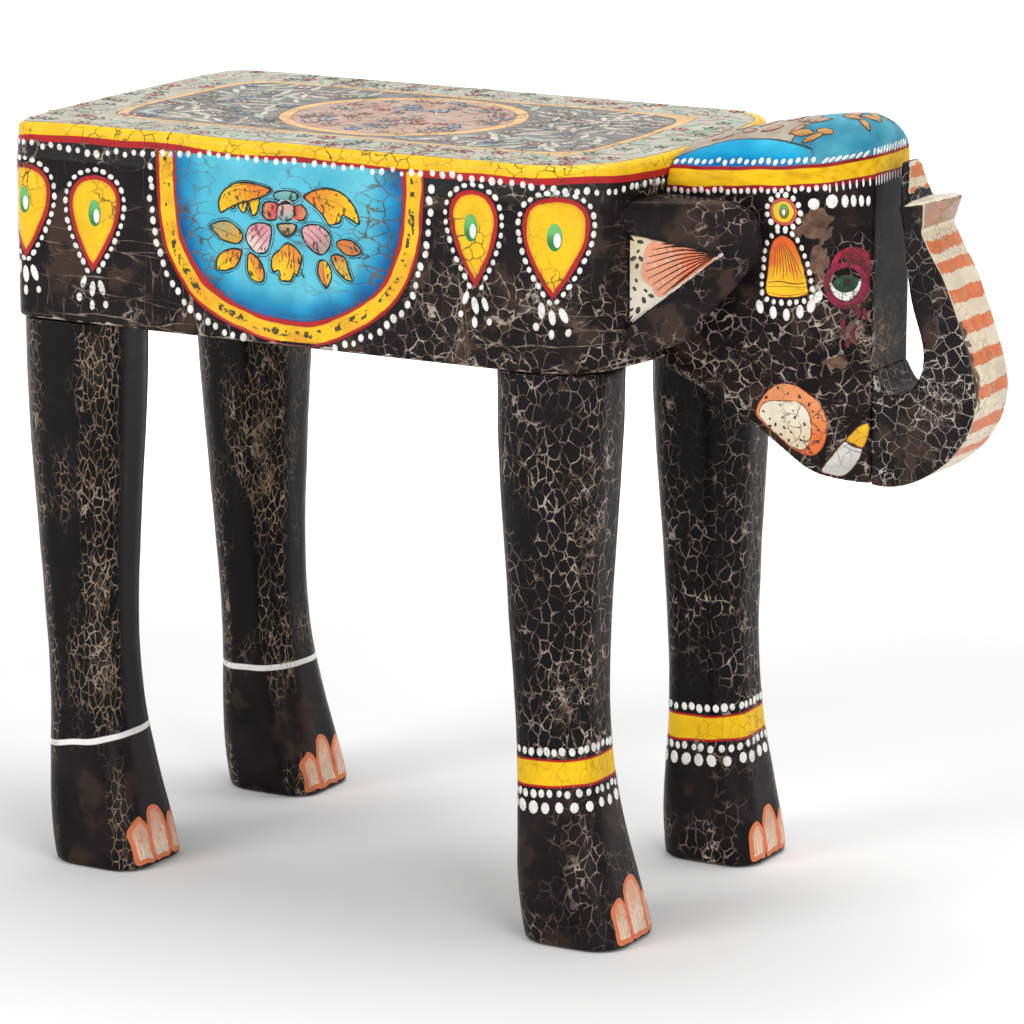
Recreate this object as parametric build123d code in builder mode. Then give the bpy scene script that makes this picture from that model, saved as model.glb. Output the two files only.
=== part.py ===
from build123d import *
from math import asin, cos, radians, sin
import os

# Elephant stool in carved and painted wood.
#
# A shallow box is the body and the seat: a top board, four mitred rails and a base board, with a glue block
# in each corner. Four carved legs are tenoned into the blocks and pegged. The head, the upturned trunk and
# the two ears are separate blocks, dowelled on. The elephant faces +X, its right side is towards -Y, and
# the origin is on the floor under the middle of the whole length.

os.makedirs("parts", exist_ok=True)

# ---------------------------------------------------------------- driving sizes, in millimetres
# Body: the box of boards and rails that is the seat
seat_height = 430.0
body_length = 382.0  # over the swell of both ends
body_width = 235.6
front_bow = 15.4  # how far the front end swells beyond its corners
rear_bow = 2.0
front_corner = 38.0
rear_corner = 14.0
seat_thickness = 21.0
rail_height = 73.0
base_thickness = 18.3
rail_thickness = 18.0
seat_edge_round = 4.0
base_edge_round = 2.5
block_size = 42.0

# Legs: one carved pattern, each set by hand a little differently
leg_inset = {"front_right": 42.9, "front_left": 39.3, "rear_right": 31.8, "rear_left": 36.0}  # from the end
leg_flank_inset = 32.3  # from the flank to the middle of a leg's top
foot_splay = 4.5  # each foot stands this much further out than the leg's top
leg_top_size = 65.0
ankle_size = 48.6
foot_size = 62.0
ankle_height = 112.0
toe_forward = {"front_right": 20.7, "front_left": 9.5, "rear_right": 18.5, "rear_left": 19.0}
toe_curl = 4.0  # the higher, the lower down the leg the forward curve begins
leg_roundness = 0.38  # corner radius as a share of the leg's size
foot_roundness = 0.3
foot_edge_round = 2.0
leg_stations = 9
tenon_diameter = 26.0
tenon_length = 60.0

# Head: neck, cheeks and domed cap in one block
head_width = 90.0
head_front = 112.0  # from the swell of the body's front end to the face
bevel_length = 23.0  # the slanted planes that carry the eyes
face_width = 45.0  # the narrow front plane, as wide as the trunk
cap_rear_rise = 0.5  # crest of the cap above the seat, where it leaves the body
cap_rise = 23.0  # the same at the crown
cap_rear_spring = -7.5  # foot of the cap's arch above the seat
cap_spring = 0.5
shoulder_share = 0.6  # how much of its rise the cap has made halfway to the crown
crown_from_face = 20.0  # the crown lies this far behind the face
brow_round = 18.0
cheek_round = 20.0
jaw_round = 2.5
neck_drop = 6.0  # underside of the neck below the body
chin_drop = 62.7  # the same at the chin, under the face
throat_share = 0.55  # a point on the underside, this share of the way to the face
throat_rise = 25.0  # and this far above the chin
chin_slope = -0.18  # the underside still falls a little where head and trunk meet
neck_slope = -0.35

# Trunk: the jaw's front part, the rising trunk and its tip
trunk_width = 45.0
trunk_reach = 61.0  # from the face to the trunk's furthest point
trunk_height = 141.0  # from the chin to the notch under the lip
# its front line, as shares of reach and height
trunk_front = ((0.56, 0.06), (0.96, 0.27), (1.0, 0.385), (0.93, 0.53), (0.64, 0.85))
trunk_notch = 0.445  # share of the reach at the notch
slot_width = 29.0  # open space between the face and the trunk, where it is widest
# the line down the trunk's back and along the floor of that space, as shares of its width and the height
slot_line = ((0.64, 0.87), (0.79, 0.7), (1.0, 0.48), (0.65, 0.37), (0.33, 0.36))
slot_corner = 0.45  # share of the height where the open space meets the face
trunk_edge_round = 2.0
mouth_back = 13.5  # from the face to the back of the trunk's tip
mouth_rise = 12.5  # top of the trunk's tip above the notch
lip_reach = 42.0  # from the face to the point of the lip
lip_rise = 18.0  # point of the lip above the notch
finger_height = 22.5
finger_sink = 6.0  # its root is let this far into the trunk
finger_thickness = 5.5
finger_front = 17.6  # from the face to the front of its root
finger_root_width = 33.0
finger_tip_width = 14.0
finger_lean = 11.0  # degrees, towards the forehead

# Ears: leaves that stand off the head towards the rear
ear_top_drop = 21.0  # top of the ear below the seat
ear_height = 88.0
ear_front_proud = 8.0  # how far the ear's front edge stands off the head
ear_rear_y = 82.0
ear_length = 73.0
ear_straight = 48.0  # straight part of the upper edge
ear_lobe = ((1.0, 0.3), (0.62, 0.72))  # the rounded edge, as shares of length and height
ear_tail = 0.3  # slope of the lower edge where it meets the body
ear_edge_round = 4.0
ear_recess = 3.0
ear_recess_length = 54.0
ear_recess_top = 17.0
ear_recess_tip = 28.5
ear_recess_bottom = 70.0

# Dowels, pegs and screws
fit = 0.1  # clearance all round a dowel, peg, tenon or shank
end_room = 0.5  # room past the end of a dowel or screw
seat_dowel_diameter = 10.0
seat_dowel_depth = 12.0  # into each of the two pieces
head_dowel_diameter = 12.0
head_dowel_depth = 26.0
head_dowel_y = 24.0
head_dowel_spread = 40.0
trunk_dowel_diameter = 10.0
trunk_dowel_depth = 20.0
trunk_dowel_y = 10.0
trunk_dowel_rise = 25.0  # above the chin
ear_dowel_diameter = 8.0
ear_dowel_depth = 10.0
ear_dowel_spacing = 22.0
ear_dowel_from_body = 14.0
peg_diameter = 6.0
peg_length = 36.0
peg_rise = 22.0  # above the base board
screw_diameter = 4.0
screw_head_diameter = 8.0
screw_head_height = 2.6
block_screw_bite = 11.0  # into the rail
block_screw_inset = 17.0  # from the middle of the block
block_screw_rises = (10.0, 36.0)  # of the lengthways and the crosswise screw, above the base board
base_screw_bite = 24.0
base_screw_pitch = 100.0

# ---------------------------------------------------------------- places that follow from them
base_bottom = seat_height - seat_thickness - rail_height - base_thickness
base_top = base_bottom + base_thickness
rail_top = base_top + rail_height
half_length = body_length / 2
half_width = body_width / 2
face_x = half_length + head_front
chin_z = base_bottom - chin_drop
trunk_front_x = face_x + trunk_reach
middle_x = (half_length - trunk_front_x) / 2  # the body's middle, behind the middle of the whole

floor = Plane((middle_x, 0, 0))
side_view = Plane(origin=(middle_x, 0, 0), x_dir=(1, 0, 0), z_dir=(0, -1, 0))
end_view = Plane(origin=(middle_x, 0, 0), x_dir=(0, 1, 0), z_dir=(1, 0, 0))

cavity_front = half_length - front_bow - rail_thickness
cavity_rear = -half_length + rear_bow + rail_thickness
cavity_half_width = half_width - rail_thickness
blocks = {
    "front_right": (cavity_front - block_size / 2, -cavity_half_width + block_size / 2),
    "front_left": (cavity_front - block_size / 2, cavity_half_width - block_size / 2),
    "rear_right": (cavity_rear + block_size / 2, -cavity_half_width + block_size / 2),
    "rear_left": (cavity_rear + block_size / 2, cavity_half_width - block_size / 2),
}
base_screw_y = half_width - rail_thickness / 2
base_screws_at = [(step * base_screw_pitch, side * base_screw_y) for step in (-1, 0, 1) for side in (-1, 1)]
head_dowel_heights = [
    (base_top + rail_top) / 2 - head_dowel_spread / 2,
    (base_top + rail_top) / 2 + head_dowel_spread / 2,
]
head_dowels_at = [(side * head_dowel_y, height) for side in (-1, 1) for height in head_dowel_heights]
head_dowel_x = half_length - front_bow * (head_dowel_y / half_width) ** 2
trunk_dowels_at = [(side * trunk_dowel_y, chin_z + trunk_dowel_rise) for side in (-1, 1)]
ear_dowel_z = (head_dowel_heights[0] + head_dowel_heights[1]) / 2
ear_dowel_x = half_length + ear_dowel_from_body
ear_dowels_at = [(ear_dowel_x + step * ear_dowel_spacing, ear_dowel_z) for step in (0, 1)]


def finish(piece, label):
    """Name a finished piece and write it out."""
    piece.part.label = label
    export_step(piece.part, f"parts/{label}.step")


def signs(corner):
    """Direction from the middle of the body to a corner, such as (1, -1) for front_right."""
    return (1 if "front" in corner else -1, -1 if "right" in corner else 1)


def body_outline():
    """Footprint of the body: straight flanks, bowed ends, wide front corners and tight rear ones."""
    front_x = half_length - front_bow
    rear_x = -half_length + rear_bow
    with BuildSketch() as outline:
        with BuildLine():
            Line((rear_x, -half_width), (front_x, -half_width))
            ThreePointArc((front_x, -half_width), (half_length, 0), (front_x, half_width))
            Line((front_x, half_width), (rear_x, half_width))
            ThreePointArc((rear_x, half_width), (-half_length, 0), (rear_x, -half_width))
        make_face()
        fillet(outline.vertices().sort_by(Axis.X)[-2:], front_corner)
        fillet(outline.vertices().sort_by(Axis.X)[:2], rear_corner)
    return outline.sketch


def rail_plan(wedge):
    """Plan of one rail: the body's outline less its cavity, between the mitres of a wedge."""
    with BuildSketch() as plan:
        add(body_outline())
        with Locations(((cavity_front + cavity_rear) / 2, 0)):
            Rectangle(cavity_front - cavity_rear, 2 * cavity_half_width, mode=Mode.SUBTRACT)
        with BuildLine():
            Polyline(*wedge, close=True)
        make_face(mode=Mode.INTERSECT)
    return plan.sketch


def side_wedge(side):
    """The wedge between the mitres of a flank."""
    inner = side * cavity_half_width
    outer = side * (cavity_half_width + half_width)
    return [
        (cavity_rear, inner),
        (cavity_front, inner),
        (cavity_front + half_width, outer),
        (cavity_rear - half_width, outer),
    ]


def end_wedge(end):
    """The wedge between the mitres of an end."""
    inner = cavity_front if end > 0 else cavity_rear
    outer = inner + end * half_width
    reach = cavity_half_width + half_width
    return [(inner, -cavity_half_width), (inner, cavity_half_width), (outer, reach), (outer, -reach)]


# ---------------------------------------------------------------- body
with BuildPart() as seat_board:
    with BuildSketch(floor.offset(rail_top)):
        add(body_outline())
    extrude(amount=seat_thickness)
    fillet(seat_board.faces().sort_by(Axis.Z)[-1].edges(), seat_edge_round)
    with BuildSketch(floor.offset(rail_top)):
        with Locations(*blocks.values()):
            Circle(seat_dowel_diameter / 2 + fit)
    extrude(amount=seat_dowel_depth + end_room, mode=Mode.SUBTRACT)
finish(seat_board, "seat_board")

with BuildPart() as base_board:
    with BuildSketch(floor.offset(base_bottom)):
        add(body_outline())
    extrude(amount=base_thickness)
    fillet(base_board.faces().sort_by(Axis.Z)[0].edges(), base_edge_round)
    with BuildSketch(floor.offset(base_bottom)):
        with Locations(*blocks.values()):
            Circle(tenon_diameter / 2 + fit)
        with Locations(*base_screws_at):
            Circle(screw_diameter / 2 + fit)
    extrude(amount=base_thickness, mode=Mode.SUBTRACT)
    with BuildSketch(floor.offset(base_bottom)):
        with Locations(*base_screws_at):
            Circle(screw_head_diameter / 2 + fit)
    extrude(amount=screw_head_height + end_room, mode=Mode.SUBTRACT)
finish(base_board, "base_board")

for side, name in ((-1, "side_rail_right"), (1, "side_rail_left")):
    with BuildPart() as side_rail:
        with BuildSketch(floor.offset(base_top)):
            add(rail_plan(side_wedge(side)))
        extrude(amount=rail_height)
        with BuildSketch(floor.offset(base_top)):
            with Locations(*[at for at in base_screws_at if at[1] * side > 0]):
                Circle(screw_diameter / 2 + fit)
        extrude(amount=base_screw_bite + end_room, mode=Mode.SUBTRACT)
        with BuildSketch(side_view.offset(-side * cavity_half_width)):
            for corner, (block_x, block_y) in blocks.items():
                if block_y * side > 0:
                    screw_x = block_x - signs(corner)[0] * block_screw_inset
                    with Locations((screw_x, base_top + block_screw_rises[1])):
                        Circle(screw_diameter / 2 + fit)
        extrude(amount=-side * (block_screw_bite + end_room), mode=Mode.SUBTRACT)
    finish(side_rail, name)

for end, name in ((1, "end_rail_front"), (-1, "end_rail_rear")):
    with BuildPart() as end_rail:
        with BuildSketch(floor.offset(base_top)):
            add(rail_plan(end_wedge(end)))
        extrude(amount=rail_height)
        with BuildSketch(end_view.offset(cavity_front if end > 0 else cavity_rear)):
            for corner, (block_x, block_y) in blocks.items():
                if block_x * end > 0:
                    screw_y = block_y - signs(corner)[1] * block_screw_inset
                    with Locations((screw_y, base_top + block_screw_rises[0])):
                        Circle(screw_diameter / 2 + fit)
        extrude(amount=end * (block_screw_bite + end_room), mode=Mode.SUBTRACT)
        if end > 0:
            with BuildSketch(end_view.offset(head_dowel_x - head_dowel_depth - end_room)):
                with Locations(*head_dowels_at):
                    Circle(head_dowel_diameter / 2 + fit)
            extrude(amount=2 * head_dowel_depth, mode=Mode.SUBTRACT)
    finish(end_rail, name)

for corner, (block_x, block_y) in blocks.items():
    along, across = signs(corner)
    with BuildPart() as corner_block:
        with BuildSketch(floor.offset(base_top)):
            with Locations((block_x, block_y)):
                Rectangle(block_size, block_size)
        extrude(amount=rail_height)
        with BuildSketch(floor.offset(base_top)):
            with Locations((block_x, block_y)):
                Circle(tenon_diameter / 2 + fit)
        extrude(amount=tenon_length - base_thickness + end_room, mode=Mode.SUBTRACT)
        with BuildSketch(floor.offset(rail_top)):
            with Locations((block_x, block_y)):
                Circle(seat_dowel_diameter / 2 + fit)
        extrude(amount=-seat_dowel_depth - end_room, mode=Mode.SUBTRACT)
        with BuildSketch(end_view.offset(block_x)):
            with Locations((block_y - across * block_screw_inset, base_top + block_screw_rises[0])):
                Circle(screw_diameter / 2 + fit)
        extrude(amount=block_size / 2, both=True, mode=Mode.SUBTRACT)
        with BuildSketch(side_view.offset(-block_y)):
            with Locations((block_x - along * block_screw_inset, base_top + block_screw_rises[1])):
                Circle(screw_diameter / 2 + fit)
        extrude(amount=block_size / 2, both=True, mode=Mode.SUBTRACT)
        with BuildSketch(side_view.offset(-(block_y - across * block_size / 2))):
            with Locations((block_x, base_top + peg_rise)):
                Circle(peg_diameter / 2 + fit)
        extrude(amount=-across * (peg_length + end_room), mode=Mode.SUBTRACT)
    finish(corner_block, f"corner_block_{corner}")


# ---------------------------------------------------------------- legs
def ease(share):
    """Smooth step from 0 to 1."""
    return share * share * (3 - 2 * share)


def leg_size(height):
    """Width of a leg: slimmest at the ankle, wider to the body and out to the foot."""
    if height > ankle_height:
        share = (height - ankle_height) / (base_bottom - ankle_height)
        return ankle_size + (leg_top_size - ankle_size) * ease(share)
    return ankle_size + (foot_size - ankle_size) * ease(1 - height / ankle_height)


for corner, (block_x, block_y) in blocks.items():
    along, across = signs(corner)
    top_x = along * (half_length - leg_inset[corner])
    with BuildPart() as leg:
        for station in range(leg_stations):
            height = base_bottom * station / (leg_stations - 1)
            rise = height / base_bottom
            middle = top_x + toe_forward[corner] * (1 - rise) ** toe_curl
            out = half_width - leg_flank_inset + foot_splay * (1 - rise)
            width = leg_size(height)
            above_foot = ease(min(height / ankle_height, 1))
            roundness = foot_roundness + (leg_roundness - foot_roundness) * above_foot
            with BuildSketch(floor.offset(height)):
                with Locations((middle, across * out)):
                    RectangleRounded(width, width, width * roundness)
        loft()
        fillet(leg.faces().sort_by(Axis.Z)[0].edges(), foot_edge_round)
        with BuildSketch(floor.offset(base_bottom)):
            with Locations((block_x, block_y)):
                Circle(tenon_diameter / 2)
        extrude(amount=tenon_length)
        with BuildSketch(side_view.offset(-block_y)):
            with Locations((block_x, base_top + peg_rise)):
                Circle(peg_diameter / 2 + fit)
        extrude(amount=tenon_diameter, both=True, mode=Mode.SUBTRACT)
    finish(leg, f"leg_{corner}")


# ---------------------------------------------------------------- head
def cap_arch(x, spring, crest):
    """Section of the head across the cap: upright cheeks under a round arch."""
    with BuildSketch(end_view.offset(x)) as section:
        with BuildLine():
            Line((-head_width / 2, spring), (-head_width / 2, chin_z))
            Line((-head_width / 2, chin_z), (head_width / 2, chin_z))
            Line((head_width / 2, chin_z), (head_width / 2, spring))
            ThreePointArc((head_width / 2, spring), (0, crest), (-head_width / 2, spring))
        make_face()
    return section.sketch


crown_x = face_x - crown_from_face
bevel_x = middle_x + face_x - bevel_length
neck_x = half_length - front_bow
shoulder_x = (crown_x + neck_x) / 2
crown_z = seat_height + cap_rise
spring_z = seat_height + cap_spring
rear_crest_z = seat_height + cap_rear_rise
rear_spring_z = seat_height + cap_rear_spring
shoulder_z = rear_crest_z + (crown_z - rear_crest_z) * shoulder_share
under_neck_z = base_bottom - neck_drop
past_head = 2 * (crown_z - chin_z)  # from the chin to well above the crown

with BuildPart() as head:
    for x, spring, crest in (
        (neck_x, rear_spring_z, rear_crest_z),
        (shoulder_x, (spring_z + rear_spring_z) / 2, shoulder_z),
        (crown_x, spring_z, crown_z),
        (face_x, spring_z, crown_z),
    ):
        add(cap_arch(x, spring, crest))
    loft()
    # the slanted planes of the face
    with BuildSketch(floor.offset(chin_z)):
        with BuildLine():
            Polyline(
                (neck_x, -head_width / 2),
                (face_x - bevel_length, -head_width / 2),
                (face_x, -face_width / 2),
                (face_x, face_width / 2),
                (face_x - bevel_length, head_width / 2),
                (neck_x, head_width / 2),
                close=True,
            )
        make_face()
    extrude(amount=past_head, mode=Mode.INTERSECT)
    # the brow rounds over from the crown to the face
    brow_lines = head.edges().filter_by_position(Axis.Z, seat_height, crown_z)
    fillet(brow_lines.filter_by_position(Axis.X, bevel_x, middle_x + face_x), brow_round)
    # the underside, from the neck down to the chin
    with BuildSketch(side_view) as underside:
        with BuildLine():
            Spline(
                (neck_x, under_neck_z + neck_drop),
                (half_length, under_neck_z),
                (half_length + throat_share * head_front, chin_z + throat_rise),
                (face_x, chin_z),
                tangents=((1, neck_slope), (1, chin_slope)),
            )
            Polyline(
                (face_x, chin_z),
                (face_x, chin_z - neck_drop),
                (neck_x, chin_z - neck_drop),
                (neck_x, under_neck_z + neck_drop),
            )
        make_face()
    extrude(amount=head_width, both=True, mode=Mode.SUBTRACT)
    # the back is hollowed to the swell of the body
    with BuildSketch(floor.offset(chin_z)):
        add(body_outline())
    extrude(amount=past_head, mode=Mode.SUBTRACT)
    cheeks = head.faces().filter_by(Axis.Y).edges()
    fillet(cheeks.filter_by(Axis.Z).group_by(Axis.X)[-1], cheek_round)
    jaw_lines = head.faces().filter_by(Axis.Y).edges().sort_by(Axis.Z)[:2]
    fillet(jaw_lines, jaw_round)
    with BuildSketch(end_view.offset(head_dowel_x)):
        with Locations(*head_dowels_at):
            Circle(head_dowel_diameter / 2 + fit)
    extrude(amount=head_dowel_depth + end_room, both=True, mode=Mode.SUBTRACT)
    with BuildSketch(end_view.offset(face_x)):
        with Locations(*trunk_dowels_at):
            Circle(trunk_dowel_diameter / 2 + fit)
    extrude(amount=-trunk_dowel_depth - end_room, mode=Mode.SUBTRACT)
    for side in (-1, 1):
        with BuildSketch(side_view.offset(-side * head_width / 2)):
            with Locations(*ear_dowels_at):
                Circle(ear_dowel_diameter / 2 + fit)
        extrude(amount=side * (ear_dowel_depth + end_room), mode=Mode.SUBTRACT)
finish(head, "head")

# ---------------------------------------------------------------- trunk
notch_x = face_x + trunk_notch * trunk_reach
notch_z = chin_z + trunk_height
mouth_z = notch_z + mouth_rise
lip_x = face_x + lip_reach
slot_corner_z = chin_z + slot_corner * trunk_height

with BuildPart() as trunk:
    with BuildSketch(side_view):
        with BuildLine():
            Spline(
                (face_x, chin_z),
                *[(face_x + out * trunk_reach, chin_z + up * trunk_height) for out, up in trunk_front],
                (notch_x, notch_z),
                tangents=((1, chin_slope), (-0.5, 1)),
            )
            Polyline((notch_x, notch_z), (lip_x, notch_z + lip_rise), (face_x + mouth_back, mouth_z))
            Spline(
                (face_x + mouth_back, mouth_z),
                *[(face_x + out * slot_width, chin_z + up * trunk_height) for out, up in slot_line],
                (face_x, slot_corner_z),
                tangents=((0.3, -1), (-0.6, 0.8)),
            )
            Line((face_x, slot_corner_z), (face_x, chin_z))
        make_face()
    extrude(amount=trunk_width / 2, both=True)
    rims = trunk.faces().filter_by(Axis.Y).edges().filter_by(GeomType.BSPLINE)
    fillet(rims, trunk_edge_round)
    with BuildSketch(end_view.offset(face_x)):
        with Locations(*trunk_dowels_at):
            Circle(trunk_dowel_diameter / 2 + fit)
    extrude(amount=trunk_dowel_depth + end_room, mode=Mode.SUBTRACT)
    # in plan the lip is a leaf that runs out to a point
    with BuildSketch(floor.offset(notch_z)):
        for side in (-1, 1):
            with BuildLine():
                Polyline(
                    (notch_x, side * trunk_width / 2),
                    (lip_x, 0),
                    (lip_x, side * trunk_width / 2),
                    close=True,
                )
            make_face()
    extrude(amount=lip_rise, mode=Mode.SUBTRACT)
    # the finger, a tongue that leans back towards the forehead
    finger_plane = Plane(
        origin=(middle_x + face_x + finger_front, 0, mouth_z),
        x_dir=(0, 1, 0),
        z_dir=(cos(radians(finger_lean)), 0, sin(radians(finger_lean))),
    )
    with BuildSketch(finger_plane):
        with BuildLine():
            Polyline(
                (-finger_root_width / 2, -finger_sink),
                (finger_root_width / 2, -finger_sink),
                (finger_root_width / 2, 0),
                (finger_tip_width / 2, finger_height),
                (-finger_tip_width / 2, finger_height),
                (-finger_root_width / 2, 0),
                close=True,
            )
        make_face()
    extrude(amount=-finger_thickness)
finish(trunk, "trunk")

# ---------------------------------------------------------------- ears
ear_top = seat_height - ear_top_drop
ear_front_y = head_width / 2 + ear_front_proud
ear_swing = asin((ear_rear_y - ear_front_y) / ear_length)
ear_root_x = half_length - front_bow * (ear_rear_y / half_width) ** 2

for side, name in ((-1, "ear_right"), (1, "ear_left")):
    ear_plane = Plane(
        origin=(middle_x + ear_root_x, side * ear_rear_y, ear_top),
        x_dir=(cos(ear_swing), -side * sin(ear_swing), 0),
        z_dir=(sin(ear_swing), side * cos(ear_swing), 0),
    )
    up = -side  # the sketch's second axis points down on the left ear
    with BuildPart() as ear:
        with BuildSketch(ear_plane):
            with BuildLine():
                Line((0, -up * ear_height), (0, 0))
                Line((0, 0), (ear_straight, 0))
                Spline(
                    (ear_straight, 0),
                    *[(out * ear_length, -up * down * ear_height) for out, down in ear_lobe],
                    (0, -up * ear_height),
                    tangents=((1, 0), (-1, -up * ear_tail)),
                )
            make_face()
        extrude(amount=-ear_rear_y)
        face = ear.faces().sort_by(Axis(ear_plane.origin, ear_plane.z_dir))[-1]
        fillet(face.edges().sort_by(Axis.X)[1:], ear_edge_round)
        with BuildSketch(floor.offset(chin_z)):
            with Locations((face_x, 0)):
                Rectangle(2 * face_x, head_width)
            add(body_outline())
        extrude(amount=past_head, mode=Mode.SUBTRACT)
        # the inside of the ear, sunk below its rim
        with BuildSketch(ear_plane):
            with BuildLine():
                Polyline(
                    (0, -up * ear_recess_top),
                    (ear_recess_length, -up * ear_recess_tip),
                    (0, -up * ear_recess_bottom),
                    close=True,
                )
            make_face()
        extrude(amount=-ear_recess, mode=Mode.SUBTRACT)
        with BuildSketch(side_view.offset(-side * head_width / 2)):
            with Locations(*ear_dowels_at):
                Circle(ear_dowel_diameter / 2 + fit)
        extrude(amount=-side * (ear_dowel_depth + end_room), mode=Mode.SUBTRACT)
    finish(ear, name)


# ---------------------------------------------------------------- dowels, pegs and screws
with BuildPart() as seat_dowels:
    with BuildSketch(floor.offset(rail_top)):
        with Locations(*blocks.values()):
            Circle(seat_dowel_diameter / 2)
    extrude(amount=seat_dowel_depth, both=True)
finish(seat_dowels, "seat_dowels")

with BuildPart() as head_dowels:
    with BuildSketch(end_view.offset(head_dowel_x)):
        with Locations(*head_dowels_at):
            Circle(head_dowel_diameter / 2)
    extrude(amount=head_dowel_depth, both=True)
finish(head_dowels, "head_dowels")

with BuildPart() as trunk_dowels:
    with BuildSketch(end_view.offset(face_x)):
        with Locations(*trunk_dowels_at):
            Circle(trunk_dowel_diameter / 2)
    extrude(amount=trunk_dowel_depth, both=True)
finish(trunk_dowels, "trunk_dowels")

with BuildPart() as ear_dowels:
    for side in (-1, 1):
        with BuildSketch(side_view.offset(-side * head_width / 2)):
            with Locations(*ear_dowels_at):
                Circle(ear_dowel_diameter / 2)
        extrude(amount=ear_dowel_depth, both=True)
finish(ear_dowels, "ear_dowels")

with BuildPart() as leg_pegs:
    for corner, (block_x, block_y) in blocks.items():
        across = signs(corner)[1]
        with BuildSketch(side_view.offset(-(block_y - across * block_size / 2))):
            with Locations((block_x, base_top + peg_rise)):
                Circle(peg_diameter / 2)
        extrude(amount=-across * peg_length)
finish(leg_pegs, "leg_pegs")

with BuildPart() as base_screws:
    with BuildSketch(floor.offset(base_bottom + end_room)):
        with Locations(*base_screws_at):
            Circle(screw_head_diameter / 2)
    extrude(amount=screw_head_height)
    with BuildSketch(floor.offset(base_bottom + end_room)):
        with Locations(*base_screws_at):
            Circle(screw_diameter / 2)
    extrude(amount=base_thickness + base_screw_bite - end_room)
finish(base_screws, "base_screws")

with BuildPart() as block_screws:
    for corner, (block_x, block_y) in blocks.items():
        along, across = signs(corner)
        lengthways = (block_y - across * block_screw_inset, base_top + block_screw_rises[0])
        crosswise = (block_x - along * block_screw_inset, base_top + block_screw_rises[1])
        for plane, at, reach in (
            (end_view.offset(block_x - along * block_size / 2), lengthways, along),
            (side_view.offset(-(block_y - across * block_size / 2)), crosswise, -across),
        ):
            with BuildSketch(plane):
                with Locations(at):
                    Circle(screw_diameter / 2)
            extrude(amount=reach * (block_size + block_screw_bite))
            with BuildSketch(plane):
                with Locations(at):
                    Circle(screw_head_diameter / 2)
            extrude(amount=-reach * screw_head_height)
finish(block_screws, "block_screws")
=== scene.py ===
# %% [markdown]
# # A carved and painted elephant stool
# The stool is a board body on four carved legs, with a carved head, trunk and ears at one end.
# The joiner's frame comes first, as the fixed pieces that everything else follows.
# Each later step adds one thing that a painter or carver would add, in that order.

# %% Load the joiner's frame
import math

import bmesh
import bpy
import numpy as np
from mathutils import Matrix, Vector, noise
from mathutils.bvhtree import BVHTree
from mathutils.kdtree import KDTree


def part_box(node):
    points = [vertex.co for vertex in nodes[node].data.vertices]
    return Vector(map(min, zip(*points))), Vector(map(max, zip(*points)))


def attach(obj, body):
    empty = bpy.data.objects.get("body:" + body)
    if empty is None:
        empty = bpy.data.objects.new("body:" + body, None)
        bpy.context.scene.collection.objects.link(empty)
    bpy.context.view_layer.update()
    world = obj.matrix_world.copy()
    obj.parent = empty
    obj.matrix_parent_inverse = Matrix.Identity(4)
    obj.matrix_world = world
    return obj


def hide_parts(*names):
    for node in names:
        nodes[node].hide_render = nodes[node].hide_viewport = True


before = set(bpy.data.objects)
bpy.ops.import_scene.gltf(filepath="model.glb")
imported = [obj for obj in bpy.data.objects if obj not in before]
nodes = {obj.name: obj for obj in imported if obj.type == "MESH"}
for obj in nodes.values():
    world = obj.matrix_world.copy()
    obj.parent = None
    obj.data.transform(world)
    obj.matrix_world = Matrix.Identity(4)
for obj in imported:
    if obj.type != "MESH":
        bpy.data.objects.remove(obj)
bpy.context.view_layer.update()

MM = 0.001
seat_low, seat_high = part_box("seat_board")
MIDDLE = (seat_low.x + seat_high.x) / 2 / MM
print("frame nodes:", len(nodes), "middle of the body at x", round(MIDDLE, 2), "mm")

# %% [markdown]
# ## Recipes for paint
# A paint is a small tree of nodes, and most of its steps are sums, limits and mixes. A flow is one
# value on its way through such a tree, and it can be added and multiplied like a number.
# That keeps each recipe as short as a painter would say it.

# %% Flows and recipes


def feed(tree, value, socket):
    """Links an input to a flow, or sets it to a number or colour."""
    if isinstance(value, Flow):
        tree.links.new(value.socket, socket)
    elif socket.type == "RGBA":
        socket.default_value = (*value, 1.0)
    else:
        socket.default_value = value


class Flow:
    """One value in a recipe."""

    def __init__(self, recipe, socket):
        self.recipe, self.socket = recipe, socket

    def calc(self, operation, *others):
        return self.recipe.node("ShaderNodeMath", dict(enumerate((self, *others))), operation=operation)

    def __add__(self, other):
        return self.calc("ADD", other)

    def __sub__(self, other):
        return self.calc("SUBTRACT", other)

    def __rsub__(self, other):
        return self.recipe.node("ShaderNodeMath", {0: other, 1: self}, operation="SUBTRACT")

    def __mul__(self, other):
        return self.calc("MULTIPLY", other)

    def __lt__(self, other):
        return self.calc("LESS_THAN", other)

    def __gt__(self, other):
        return self.calc("GREATER_THAN", other)

    def __abs__(self):
        return self.calc("ABSOLUTE")

    def at_least(self, other):
        """The greater of two values."""
        return self.calc("MAXIMUM", other)

    def span(self, low, high, to_low=0.0, to_high=1.0, kind="SMOOTHSTEP"):
        """The value between low and high turned into a soft step."""
        inputs = {"Value": self, "From Min": low, "From Max": high, "To Min": to_low, "To Max": to_high}
        return self.recipe.node("ShaderNodeMapRange", inputs, interpolation_type=kind)

    def line(self, low, high, to_low=0.0, to_high=1.0):
        """The value between low and high turned into an even ramp."""
        return self.span(low, high, to_low, to_high, "LINEAR")


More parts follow.
